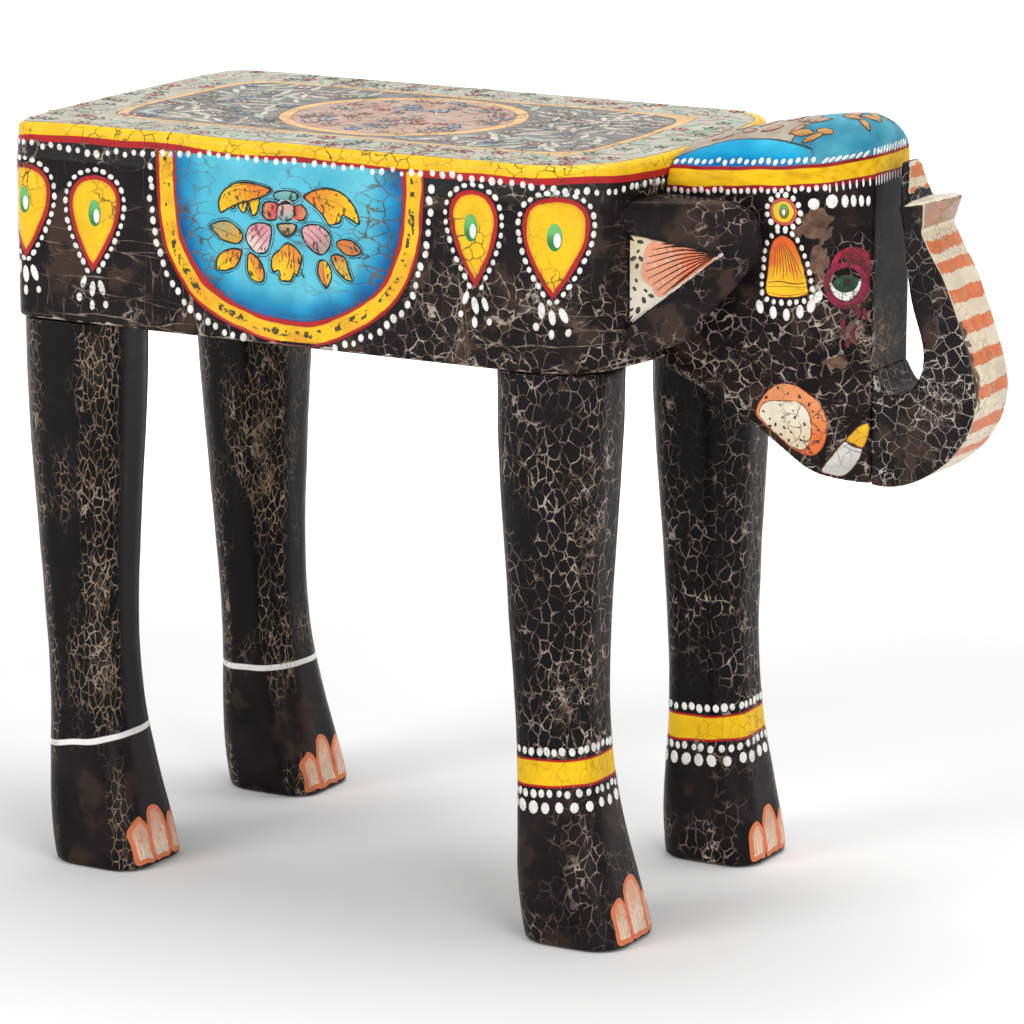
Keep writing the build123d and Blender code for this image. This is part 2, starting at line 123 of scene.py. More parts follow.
class Recipe:
    """A tree of nodes, built by short steps."""

    def __init__(self, tree):
        self.tree = tree

    def nodes(self, kind, inputs=None, **settings):
        """One node with its settings and inputs; gives its outputs by name."""
        made = self.tree.nodes.new(kind)
        for name, value in settings.items():
            setattr(made, name, value)
        for key, value in (inputs or {}).items():
            feed(self.tree, value, made.inputs[key])
        return {socket.name: Flow(self, socket) for socket in made.outputs if socket.enabled}

    def node(self, kind, inputs=None, **settings):
        """One node; gives its first output."""
        return next(iter(self.nodes(kind, inputs, **settings).values()))

    def vector(self, operation, first, second):
        """One sum of vectors; a single number scales."""
        key = "Scale" if operation == "SCALE" else 1
        return self.node("ShaderNodeVectorMath", {0: first, key: second}, operation=operation)

    def place(self, stretch=None):
        """Where a point of the surface lies, in metres; a stretch above 1 squeezes what is laid there."""
        here = self.nodes("ShaderNodeTexCoord")["Object"]
        return self.node("ShaderNodeMapping", {"Vector": here, "Scale": stretch}) if stretch else here

    def parts(self, vector):
        """The x, y and z of a vector."""
        return list(self.nodes("ShaderNodeSeparateXYZ", {0: vector}).values())

    def facing(self):
        """The x, y and z of the way the surface faces."""
        return self.parts(self.nodes("ShaderNodeNewGeometry")["Normal"])

    def read(self, name, output="Fac"):
        """A value or colour stored on the mesh."""
        return self.nodes("ShaderNodeAttribute", attribute_name=name)[output]

    def noise(self, place, scale, detail, output="Fac"):
        return self.nodes("ShaderNodeTexNoise", {"Vector": place, "Scale": scale, "Detail": detail})[output]

    def mottle(self, scale, low=0.0, high=1.0, detail=3.0, stretch=None):
        """A soft patchy value between low and high."""
        return self.noise(self.place(stretch), scale, detail).line(0.3, 0.7, low, high)

    def blend(self, share, under, over, kind="MIX"):
        """One colour laid over another where share is 1."""
        made = self.tree.nodes.new("ShaderNodeMix")
        made.data_type, made.blend_type = "RGBA", kind
        for index, value in ((0, share), (6, under), (7, over)):
            feed(self.tree, value, made.inputs[index])
        return Flow(self, made.outputs[2])

    def bands(self, value, first, steps, soft=0.25):
        """Bands of colour along a value: each step is the limit where its colour starts."""
        colour = first
        for limit, following in steps:
            colour = self.blend(value.span(limit - soft, limit + soft), colour, following)
        return colour

    def group(self, tree, **inputs):
        """A copy of a node group, with its outputs by name."""
        made = self.tree.nodes.new("ShaderNodeGroup")
        made.node_tree = tree
        for name, value in inputs.items():
            feed(self.tree, value, made.inputs[name])
        return {socket.name: Flow(self, socket) for socket in made.outputs}


def new_group(name, inputs, outputs):
    """An empty node group: its recipe, its inputs by name and its output sockets."""
    tree = bpy.data.node_groups.new(name, "ShaderNodeTree")
    for title in inputs:
        kind = "NodeSocketVector" if title == "Vector" else "NodeSocketFloat"
        tree.interface.new_socket(title, in_out="INPUT", socket_type=kind)
    for title in outputs:
        tree.interface.new_socket(title, in_out="OUTPUT", socket_type="NodeSocketFloat")
    recipe = Recipe(tree)
    return recipe, recipe.nodes("NodeGroupInput"), tree.nodes.new("NodeGroupOutput").inputs


# %% [markdown]
# ## Crackle
# Old oil paint on wood shrinks and splits into a net of small plates, and some plates fall off.
# A Voronoi texture's distance to its cell edges gives such a net. Two nets of different size,
# bent by noise and let through by region, look like real crackle and never repeat.

# %% The crackle group
inputs = ["Vector", "Size", "Width", "Lost", "Flakes"]
crackle, given, result = new_group("crackle", inputs, ["Mask", "Height"])
place = given["Vector"]
bend = crackle.vector("SUBTRACT", crackle.noise(place, 170.0, 3.0, "Color"), (0.5, 0.5, 0.5))
bent = crackle.vector("ADD", place, crackle.vector("SCALE", bend, 0.0052))
cells = crackle.node("ShaderNodeMath", {0: 1000.0, 1: given["Size"]}, operation="DIVIDE")
thin = crackle.noise(place, 120.0, 2.0)
thickness = given["Width"].calc("DIVIDE", given["Size"]) * thin.line(0.35, 0.65, 0.55, 1.45)
gate = crackle.noise(place, 26.0, 3.0) * 0.55 + 0.225 + given["Lost"]


def cracks(finer, thicker, shown, broken):
    """One net of cracks, open where the gate lets it through and broken where it runs thin."""
    edges = {"Vector": bent, "Scale": cells * finer}
    from_edge = crackle.node("ShaderNodeTexVoronoi", edges, feature="DISTANCE_TO_EDGE")
    return (1.0 - from_edge.span(0.0, thickness * thicker)) * gate.span(*shown) * thin.span(*broken)


chips = crackle.noise(bent, 230.0, 3.0).span(0.63, 0.67) * gate.span(0.96, 1.08) * given["Flakes"]
wide_net = cracks(1.0, 1.0, (0.80, 0.92), (0.30, 0.42))
fine_net = cracks(2.2, 1.6, (0.93, 1.03), (0.36, 0.50))
mask = wide_net.at_least(fine_net).at_least(chips)
feed(crackle.tree, mask, result["Mask"])
feed(crackle.tree, 1.0 - mask, result["Height"])
print("crackle group:", len(crackle.tree.nodes), "nodes")

# %% [markdown]
# ## Painted wood
# All the paints share one build: a colour, the crackle over it, and a shallow bump.
# Where paint is lost, tan wood or a dark undercoat shows, and it is duller than the paint.

# %% Parts of a painted finish
BLACK = (0.006, 0.005, 0.006)
UNDERCOAT = (0.06, 0.035, 0.015)
YELLOW = (0.90, 0.54, 0.014)
RED = (0.44, 0.014, 0.018)
ORANGE = (0.80, 0.17, 0.045)
CREAM = (0.74, 0.62, 0.42)
WHITE = (0.88, 0.87, 0.84)
INK = (0.012, 0.010, 0.010)


class Finish(Recipe):
    """The recipe of one material."""

    def __init__(self, name):
        self.material = bpy.data.materials.new(name)
        self.material.use_nodes = True
        super().__init__(self.material.node_tree)
        self.shader = self.tree.nodes["Principled BSDF"].inputs

    def net(self, size, width, lost, flakes=0.5, stretch=None):
        """Crackle laid over the surface."""
        place = self.place(stretch)
        return self.group(crackle.tree, Vector=place, Size=size, Width=width, Lost=lost, Flakes=flakes)

    def tan_wood(self):
        """Bare wood and primer in the cracks, from brown to a pale pinkish cream."""
        return self.blend(self.mottle(120.0, -0.2), (0.11, 0.062, 0.042), (0.60, 0.49, 0.41))

    def worn_black(self, share=1.0):
        """Black paint with brown, rubbed-through patches."""
        rubbed = self.mottle(32.0, detail=5.0).span(0.62, 0.80) * (0.8 * share)
        black = self.blend(self.mottle(45.0), BLACK, (0.017, 0.012, 0.013))
        return self.blend(rubbed, black, (0.060, 0.036, 0.026))

    def plain(self, colour, rough):
        """A bare finish of one colour and roughness."""
        feed(self.tree, colour, self.shader["Base Color"])
        feed(self.tree, rough, self.shader["Roughness"])
        return self.material

    def painted(self, colour, net, wood, gloss=0.30, dull=0.62, depth=0.0004, shine=0.2, mask=None):
        """Shows the wood where paint is lost, and sets roughness and bump."""
        lost = mask or net["Mask"]
        shade = self.mottle(60.0, 0.86, 1.10)
        grey = self.node("ShaderNodeCombineColor", {0: shade, 1: shade, 2: shade})
        colour = self.blend(lost, self.blend(1.0, colour, grey, "MULTIPLY"), wood)
        bump = self.node("ShaderNodeBump", {"Height": net["Height"], "Strength": 0.7, "Distance": depth})
        feed(self.tree, bump, self.shader["Normal"])
        self.shader["Specular IOR Level"].default_value = shine
        return self.plain(colour, lost.line(0.0, 1.0, gloss, dull) + self.mottle(90.0, -0.05, 0.08))


# %% [markdown]
# ## Black paint
# The ground of the whole animal is black oil paint. On the boards it has split along and across
# the grain in long thin lines. The net thickens low down near the front, where knees rub.

# %% Black body paint
BASE_EDGE = 0.3188
black = Finish("black_body_paint")
x, y, z = black.parts(black.place())
lost = x.span(-0.13, 0.04, 0.0, 0.14) * z.span(0.40, 0.36) + 0.27
net = black.net(8.5, 0.40, lost, 0.4)["Mask"]
long = black.net(10.0, 0.34, 0.34, 0.0, (0.16, 0.16, 1.0))["Mask"]
upright = black.net(8.0, 0.30, 0.30, 0.0, (1.0, 1.0, 0.2))["Mask"]
bare_foot = z - black.mottle(120.0, -0.0016, 0.0014, 4.0) < BASE_EDGE
bare_foot = bare_foot * black.facing()[2].span(-0.8, -0.6, 0.0, 0.9)
mask = net.at_least(long.at_least(upright)).at_least(bare_foot)
net = {"Mask": mask, "Height": 1.0 - mask}
body_black = black.painted(black.worn_black(), net, black.tan_wood(), shine=0.07)
print("black paint:", body_black.name)

# %% [markdown]
# ## Carving
# Legs, head, trunk and ears are cut by hand, so their faces wave a little and no edge is crisp.
# A voxel remesh gives each an even skin, and noise moves that skin inward by a fraction
# of a millimetre, so the piece keeps its size.

# %% Carved pieces


def points_of(mesh):
    """The places of a mesh's points in millimetres, one row each."""
    flat = np.empty(len(mesh.vertices) * 3)
    mesh.vertices.foreach_get("co", flat)
    return flat.reshape(-1, 3) / MM


def waves(spots, scale):
    """A slow wave at each point, between about -1 and 1."""
    return np.array([noise.noise(Vector(p) * scale) for p in spots])


def store(mesh, name, values, kind="FLOAT"):
    """Keeps one value per point on the mesh, for its paint to read."""
    made = mesh.attributes.new(name, kind, "POINT")
    field = {"FLOAT": "value", "FLOAT_VECTOR": "vector", "FLOAT_COLOR": "color"}[kind]
    made.data.foreach_set(field, np.asarray(values, np.float32).ravel())


def new_mesh(name, spots, faces=()):
    """A smooth mesh from points and faces."""
    mesh = bpy.data.meshes.new(name)
    mesh.from_pydata(spots, [], faces)
    mesh.shade_smooth()
    return mesh


def placed(name, data):
    """A new object in the scene."""
    made = bpy.data.objects.new(name, data)
    bpy.context.scene.collection.objects.link(made)
    return made


def applied(piece, name):
    """The piece with its modifiers worked into a plain mesh."""
    made = bpy.data.meshes.new_from_object(piece.evaluated_get(bpy.context.evaluated_depsgraph_get()))
    piece.modifiers.clear()
    piece.data = made
    made.name = name
    return made


def settle(piece, node=None):
    """Ties a finished piece to the frame's one body, hides the frame node it stands for, and prints its face
    count.
    """
    if node:
        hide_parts(node)
    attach(piece, "root")
    print(piece.name, "faces:", len(piece.data.polygons))
    return piece


def carved(name, node, voxel, wave):
    """A hand-cut copy of a frame node, which it stands for."""
    mesh = nodes[node].data.copy()
    piece = placed(name, mesh)
    work = bmesh.new()
    work.from_mesh(mesh)
    bmesh.ops.remove_doubles(work, verts=work.verts, dist=0.00001)
    work.to_mesh(mesh)
    work.free()
    remesh = piece.modifiers.new("skin", "REMESH")
    remesh.mode, remesh.voxel_size = "VOXEL", voxel * MM
    soften = piece.modifiers.new("soften", "SMOOTH")
    soften.factor, soften.iterations = 0.5, 2
    skin = applied(piece, name)
    for vertex, normal in zip(skin.vertices, [v.normal.copy() for v in skin.vertices]):
        depth = 0.5 + 0.5 * noise.noise(vertex.co * 38.0)
        vertex.co -= normal * depth * wave * MM
    skin.shade_smooth()
    skin.materials.clear()
    return settle(piece, node)


CORNERS = ("front_right", "front_left", "rear_right", "rear_left")
legs = {corner: carved("carved_leg_" + corner, "leg_" + corner, 1.9, 0.6) for corner in CORNERS}
head = carved("carved_head", "head", 1.5, 0.5)
trunk = carved("carved_trunk", "trunk", 1.2, 0.4)
ears = {side: carved("carved_ear_" + side, "ear_" + side, 1.2, 0.4) for side in ("right", "left")}

# %% [markdown]
# ## Leg paint
# Each front leg wears a painted anklet, a yellow band between two red lines. Each rear leg has
# one thin white line. The bands were painted by eye and tilt a little, so each leg stores how far
# each point lies above the middle of its own band, and the paint reads that.

# %% Where the bands sit on each leg
ANKLETS = {  # height of the band's middle, and its rise forwards and sideways
    "front_right": (96.5, 0.075, 0.015),
    "front_left": (80.5, 0.06, 0.03),
    "rear_right": (73.0, 0.16, 0.02),
    "rear_left": (77.0, 0.04, 0.02),
}


def leg_axis(corner):
    """The middle of a leg near its anklet, in plan."""
    spots = points_of(legs[corner].data)
    ring = spots[np.abs(spots[:, 2] - ANKLETS[corner][0]) < 6.0]
    return ring[:, :2].mean(axis=0)


for corner, piece in legs.items():
    level, forward, side = ANKLETS[corner]
    spots = points_of(piece.data)
    middle = leg_axis(corner)
    tilt = (spots[:, 0] - middle[0]) * forward + (spots[:, 1] - middle[1]) * side
    store(piece.data, "band", spots[:, 2] - level - tilt - waves(spots, 0.06) * 0.9)
    print(corner, "anklet at", level, "mm")

# %% Leg paints


def leg_paint(name, anklet):
    """Black paint with a band; a rear leg is worn through most along its corners."""
    paint = Finish(name)
    height = paint.read("band")
    above_foot = height.span(-25.0, 5.0)
    if anklet:
        steps, band = [(-8.2, RED), (-6.8, YELLOW), (6.2, RED), (7.4, BLACK)], 7.4
        net = paint.net(5.8, 0.34, above_foot.line(0.0, 1.0, 0.34, 0.40), 0.3, (1.0, 1.0, 0.7))
        wood = paint.tan_wood()
    else:
        steps, band = [(-1.7, WHITE), (1.7, BLACK)], 1.6
        ahead, aside, _ = paint.facing()
        lost = abs(ahead * aside).span(0.08, 0.40, 0.30, 0.41) + above_foot.line(0.0, 1.0, -0.04, 0.0)
        net = paint.net(3.6, 0.27, lost, 0.6, (1.0, 1.0, 0.5))
        wood = paint.blend(paint.mottle(60.0), (0.20, 0.12, 0.06), (0.46, 0.35, 0.26))
    colour = paint.bands(height, paint.worn_black(0.55), steps, 0.35)
    in_band = abs(height) < band
    mask = net["Mask"] * (1.0 - in_band * 0.55)
    wood = paint.blend(in_band, wood, UNDERCOAT)
    return paint.painted(colour, net, wood, shine=0.08, mask=mask)


leg_paints = {"front": leg_paint("front_leg_paint", True), "rear": leg_paint("rear_leg_paint", False)}
for corner, piece in legs.items():
    piece.data.materials.append(leg_paints[corner.split("_")[0]])

# %% [markdown]
# ## Seat paint
# A yellow band runs round the seat's edge over a red line. The top has a celadon border, an orange
# line, a darker field of leaves, and a round medallion. Every band keeps the same distance from the
# seat's outline, so one value, height plus inset, is enough to paint edge and top together.

# %% Sizes of the seat's outline
FLANK = -seat_low.y / MM
HALF_LENGTH = (seat_high.x - seat_low.x) / 2 / MM
SEAT_TOP, SEAT_FOOT = seat_high.z / MM, seat_low.z / MM
FRONT_CORNER, FRONT_BOW, REAR_CORNER, REAR_BOW = 42.0, 15.4, 15.0, 2.0
print("seat half length", round(HALF_LENGTH, 1), "half width", round(FLANK, 1))

# %% Wear of the seat board's edge
seat = carved("painted_seat", "seat_board", 2.0, 0.0)
SHARP_EDGE, WORN_EDGE, WORN_REACH = 4.0, 11.0, 45.0
CORNER_FOOT, CORNER_GAIN = 14.0, 3.0
SUNK_EDGE = 2.2


def pulled_in(a, b, radius):
    """A point near a corner, moved onto the corner's round if it lies outside."""
    away = math.hypot(radius - a, radius - b)
    if away <= radius:
        return a, b, away
    return radius - (radius - a) * radius / away, radius - (radius - b) * radius / away, radius


def wear(point):
    """Rounds the seat's upper edge over, most at the rear corners, where hands and knees rub."""
    x, y, z = point.x / MM - MIDDLE, point.y / MM, point.z / MM
    end_x = -HALF_LENGTH + REAR_BOW * (y / FLANK) ** 2
    from_end, from_side, depth = x - end_x, FLANK - abs(y), SEAT_TOP - z
    near_corner = max(0.0, 1.0 - math.hypot(max(from_end, 0.0), max(from_side, 0.0)) / WORN_REACH)
    share = max(0.0, min(1.0, (z - SEAT_FOOT) / (SEAT_TOP - SEAT_FOOT)))
    radius = CORNER_FOOT + CORNER_GAIN * share
    edge = min(from_end, from_side)
    if from_end < radius and from_side < radius:
        from_end, from_side, away = pulled_in(from_end, from_side, radius)
        x, y = end_x + from_end, math.copysign(FLANK - from_side, y)
        edge = radius - away
    fall = SHARP_EDGE + (WORN_EDGE - SHARP_EDGE) * near_corner
    if edge < fall and depth < fall:
        z = SEAT_TOP - pulled_in(edge, depth, fall)[1]
    return Vector((x + MIDDLE, y, z)) * MM


# the softened lower edge sinks behind the rails, so that the sides stay flush
for vertex in seat.data.vertices:
    low = SEAT_FOOT + 5.0 - vertex.co.z / MM
    vertex.co.z -= max(0.0, min(SUNK_EDGE, low)) * MM
    if vertex.co.z / MM > SEAT_FOOT + 0.5 and vertex.co.x / MM < MIDDLE - 100.0:
        vertex.co = wear(vertex.co)
    if vertex.co.z / MM > SEAT_FOOT + 4.0:
        rub = 0.15 + 0.15 * noise.noise(vertex.co * 22.0)
        vertex.co -= vertex.normal * rub * MM
print("worn seat points:", len(seat.data.vertices))

# %% Distance in from the seat's outline
inset, given, result = new_group("seat_inset", ["Vector"], ["Inset", "Radius", "Height"])
x, y, z = inset.parts(given["Vector"])
along, across = x * 1000.0 - MIDDLE, y * 1000.0
share = across.calc("DIVIDE", FLANK)
in_front = along > 0.0
reach = abs(along) + share * share * FRONT_BOW * in_front
corner = in_front.line(0.0, 1.0, REAR_CORNER, FRONT_CORNER)
from_end = reach - (HALF_LENGTH - corner)
from_side = abs(across) - (FLANK - corner)
end_out, side_out = from_end.at_least(0.0), from_side.at_least(0.0)
round_out = (end_out * end_out + side_out * side_out).calc("SQRT")
flat_in = from_end.calc("SMOOTH_MAX", from_side, 46.0).calc("MINIMUM", 0.0)
outward = round_out + flat_in - corner
feed(inset.tree, (outward * -1.0).at_least(0.0), result["Inset"])
feed(inset.tree, (along * along + across * across).calc("SQRT"), result["Radius"])
feed(inset.tree, z * 1000.0, result["Height"])
print("inset group:", len(inset.tree.nodes), "nodes")

# %% Seat paint
AMBER, DARK_LINE = (0.74, 0.44, 0.16), (0.10, 0.05, 0.02)
MEDALLION_RIM = 70.8
paint = Finish("seat_paint")
spot = paint.group(inset.tree, Vector=paint.place())
level = spot["Height"] + spot["Inset"] + paint.mottle(14.0, -1.6, 1.6, 1.0)
celadon = paint.blend(paint.mottle(55.0), (0.50, 0.47, 0.38), (0.46, 0.38, 0.30))
celadon = paint.blend(paint.mottle(110.0, -0.5, 0.9), celadon, (0.33, 0.44, 0.34))
field = paint.blend(paint.mottle(70.0, -0.2), (0.115, 0.105, 0.10), (0.22, 0.20, 0.18))
edge_lines = [(419.6, RED), (423.5, YELLOW), (434.0, DARK_LINE), (434.7, celadon)]
top_lines = [(467.0, (0.12, 0.06, 0.02)), (467.6, AMBER), (472.2, DARK_LINE), (472.9, field)]
colour = paint.bands(level, BLACK, edge_lines + top_lines, 0.3)
salmon = paint.blend(paint.mottle(60.0), (0.46, 0.25, 0.19), (0.47, 0.33, 0.24))
ring = spot["Radius"] + paint.mottle(18.0, -1.2, 1.2, 1.0)
medallion = paint.bands(ring, salmon, [(62.5, (0.14, 0.06, 0.03)), (63.2, AMBER), (70.0, DARK_LINE)], 0.3)
colour = paint.blend((ring < MEDALLION_RIM) * (spot["Height"] > SEAT_TOP - 1.0), colour, medallion)
bare = paint.blend(level.span(419.0, 421.0), paint.tan_wood(), UNDERCOAT)
seat.data.materials.append(paint.painted(colour, paint.net(9.0, 0.42, 0.36, 0.35), bare, 0.34, 0.6))

# %% Finishes of the frame's own pieces
paint = Finish("bare_wood")
grain = paint.mottle(24.0, detail=5.0, stretch=(1.0, 9.0, 9.0))
wood_tone = paint.blend(grain, (0.30, 0.17, 0.085), (0.46, 0.30, 0.17))
bare_wood = paint.plain(wood_tone, grain.line(0.0, 1.0, 0.75, 0.6))
paint = Finish("zinc_steel")
paint.shader["Metallic"].default_value = 1.0
steel_tone = paint.blend(paint.mottle(200.0), (0.42, 0.42, 0.43), (0.60, 0.60, 0.62))
zinc_steel = paint.plain(steel_tone, paint.mottle(300.0, 0.28, 0.45))
for name, node in nodes.items():
    node.data.materials.clear()
    hidden = "dowel" in name or "block" in name
    node.data.materials.append(zinc_steel if "screw" in name else bare_wood if hidden else body_black)
print("finished frame nodes:", len(nodes))

# %% [markdown]
# ## Drawing on the wood
# The ornaments were drawn flat and follow whatever they are painted on. A drawing sheet does the
# same here: a point of the drawing is sent straight at the wood, and lands where it hits.
# The body's sheet is wrapped round it, so a motif can turn a corner.

# %% Sheets that lie on the wood
HERE = Vector((MIDDLE * MM, 0.0, 0.0))
UP = Vector((0, 0, 1))
OUTLINE_STEP = 0.5


def skin_of(*pieces):
    """The joined surface of some pieces, for rays to land on."""
    spots, faces = [], []
    for piece in pieces:
        first = len(spots)
        spots += [v.co.copy() for v in piece.data.vertices]
        faces += [[first + i for i in face.vertices] for face in piece.data.polygons]
    return BVHTree.FromPolygons(spots, faces)


class Sheet:
    """A flat drawing held out to one side, in millimetres across and up from the body's middle."""

    def __init__(self, skin, out, across, up=UP, reach=0.16):
        self.skin, self.reach = skin, reach
        self.out, self.across, self.up = (Vector(v).normalized() for v in (out, across, up))

    def at(self, a, b):
        """Where a point of the drawing lands: place, normal and across."""
        start = HERE + self.across * a * MM + self.up * b * MM + self.out * self.reach
        place, normal = self.skin.ray_cast(start, -self.out)[:2]
        return place and (place, normal, self.across)


def lengths(line):
    """How far along a line each of its points lies."""
    return np.concatenate([[0.0], np.cumsum(np.hypot(*np.diff(line, axis=0).T))])


def along_line(steps, length, line):
    """The points of a line at the given lengths."""
    return np.stack([np.interp(steps, length, line[:, i]) for i in (0, 1)], axis=1)


def turns_left(a, b, c):
    """Whether a line through three points turns left."""
    return np.cross(np.subtract(b, a), np.subtract(c, a)) > 0


def plan_outline(node):
    """A board's convex outline from above, anticlockwise in even steps."""
    spots = sorted({(round(x, 3), round(y, 3)) for x, y, z in points_of(nodes[node].data)})
    chains = []
    for run in (spots, spots[::-1]):
        chain = []
        for p in run:
            while len(chain) > 1 and not turns_left(*chain[-2:], p):
                chain.pop()
            chain.append(p)
        chains.append(chain[:-1])
    ring = np.array(chains[0] + chains[1] + chains[0][:1])
    length = lengths(ring)
    return along_line(np.arange(0.0, length[-1], OUTLINE_STEP), length, ring)


OUTLINE = plan_outline("seat_board")
FIRST = int(np.argmin(np.hypot(OUTLINE[:, 0] - MIDDLE, OUTLINE[:, 1] + FLANK)))


class Wrap:
    """A drawing wrapped round the body, from the middle of a flank forwards, with real heights."""

    def __init__(self, skin, left):
        self.skin, self.mirror = skin, -1.0 if left else 1.0

    def at(self, a, b):
        """Where a point of the drawing lands: place, normal and across."""
        step = FIRST + a / OUTLINE_STEP
        steps = np.array([step, step - 3.0, step + 3.0]) % len(OUTLINE)
        here, before, after = along_line(steps, np.arange(len(OUTLINE)), OUTLINE)
        tangent = (after - before) / np.hypot(*(after - before))
        across = Vector((tangent[0], tangent[1] * self.mirror, 0.0))
        out = Vector((tangent[1], -tangent[0] * self.mirror, 0.0))
        start = Vector((here[0], here[1] * self.mirror, b)) * MM + out * 0.02
        place, normal = self.skin.ray_cast(start, -out, 0.05)[:2]
        return place and (place, normal, across)


body_skin = skin_of(seat, *(nodes[n] for n in nodes if n == "base_board" or "rail" in n))
head_skin = skin_of(head)
flanks = [Wrap(body_skin, False), Wrap(body_skin, True)]
cheeks = [Sheet(head_skin, (0, side, 0), (1, 0, 0)) for side in (-1, 1)]
print("outline steps:", len(OUTLINE), "flank hit:", [round(v, 4) for v in flanks[0].at(0, 370)[0]])

# %% [markdown]
# ## Patches and strokes of paint
# A patch is a thin raised sheet inside an outline, built as rings that close in on its middle.
# Each point stores its distance from the rim and its place along the patch, so one paint can
# draw a dark outline and fade from one colour to another. A stroke is a thin tapered bead.

# %% Lines and outlines


def smooth_line(points, count, closed=True):
    """A soft curve through the points."""
    p = np.array(points, float)
    if closed:
        p = np.vstack([p[-1], p, p[0], p[1]])
    else:
        p = np.vstack([2 * p[0] - p[1], p, 2 * p[-1] - p[-2]])
    spans = len(p) - 3
    t = np.linspace(0, spans, count, endpoint=not closed)
    i = np.minimum(t.astype(int), spans - 1)
    f = (t - i)[:, None]
    a, b, c, d = p[i], p[i + 1], p[i + 2], p[i + 3]
    return 0.5 * (2 * b + (c - a) * f + (2 * a - 5 * b + 4 * c - d) * f**2 + (3 * b - a - 3 * c + d) * f**3)


def march(line, pitch, closed=False):
    """Points at an even pitch along a line, with the line's direction at each."""
    line = np.vstack([line, line[:1]]) if closed else np.array(line)
    length = lengths(line)
    count = max(2, int(round(length[-1] / pitch)))
    at = np.linspace(0, length[-1], count, endpoint=not closed)
    way = along_line(at + 0.5, length, line) - along_line(at - 0.5, length, line)
    spots = along_line(at, length, line)
    return [(x, y, math.degrees(math.atan2(dy, dx))) for (x, y), (dx, dy) in zip(spots, way)]


def widened(outline, distance):
    """A closed outline moved outwards."""
    after, before = np.roll(outline, -1, axis=0), np.roll(outline, 1, axis=0)
    way = after - before
    way /= np.maximum(np.hypot(*way.T), 1e-9)[:, None]
    out = np.stack([way[:, 1], -way[:, 0]], axis=1)
    area = np.cross(outline, after).sum()
    return outline + out * distance * (1 if area > 0 else -1)


def oval(a, b, wide, tall, count=20, turn=0.0, point=0.0):
    """An oval outline, drawn out to a leaf's points by the last number."""
    t = np.linspace(0, math.tau, count, endpoint=False)
    x, y = np.cos(t) * wide / 2, np.sin(t) * tall / 2 * (1 - point * np.cos(t) ** 2)
    c, s = math.cos(math.radians(turn)), math.sin(math.radians(turn))
    return np.stack([a + x * c - y * s, b + x * s + y * c], axis=1)


def sharp_line(corners, pitch=3.0):
    """A closed outline with straight sides and sharp corners."""
    sides = []
    for a, b in zip(corners, [*corners[1:], corners[0]]):
        sides.append(np.linspace(a, b, max(2, int(math.dist(a, b) / pitch)), endpoint=False))
    return np.vstack(sides)


def gap(points, line):
    """The distance of each point from a line of points."""
    a, b = line[:-1], line[1:]
    way = b - a
    length = np.maximum((way**2).sum(axis=1), 1e-9)
    share = np.clip(((points[:, None] - a) * way).sum(axis=2) / length, 0, 1)
    return np.sqrt(((points[:, None] - a - share[..., None] * way) ** 2).sum(axis=2)).min(axis=1)


def ring_faces(rings, count):
    """Faces between rings of points, and a fan from the last ring to the point that follows it."""
    faces = []
    for first in range(0, (rings - 1) * count, count):
        for i in range(count):
            j = (i + 1) % count
            faces.append((first + i, first + j, first + count + j, first + count + i))
    last = (rings - 1) * count
    return faces + [(last + i, last + (i + 1) % count, last + count) for i in range(count)]


# %% Patches and strokes


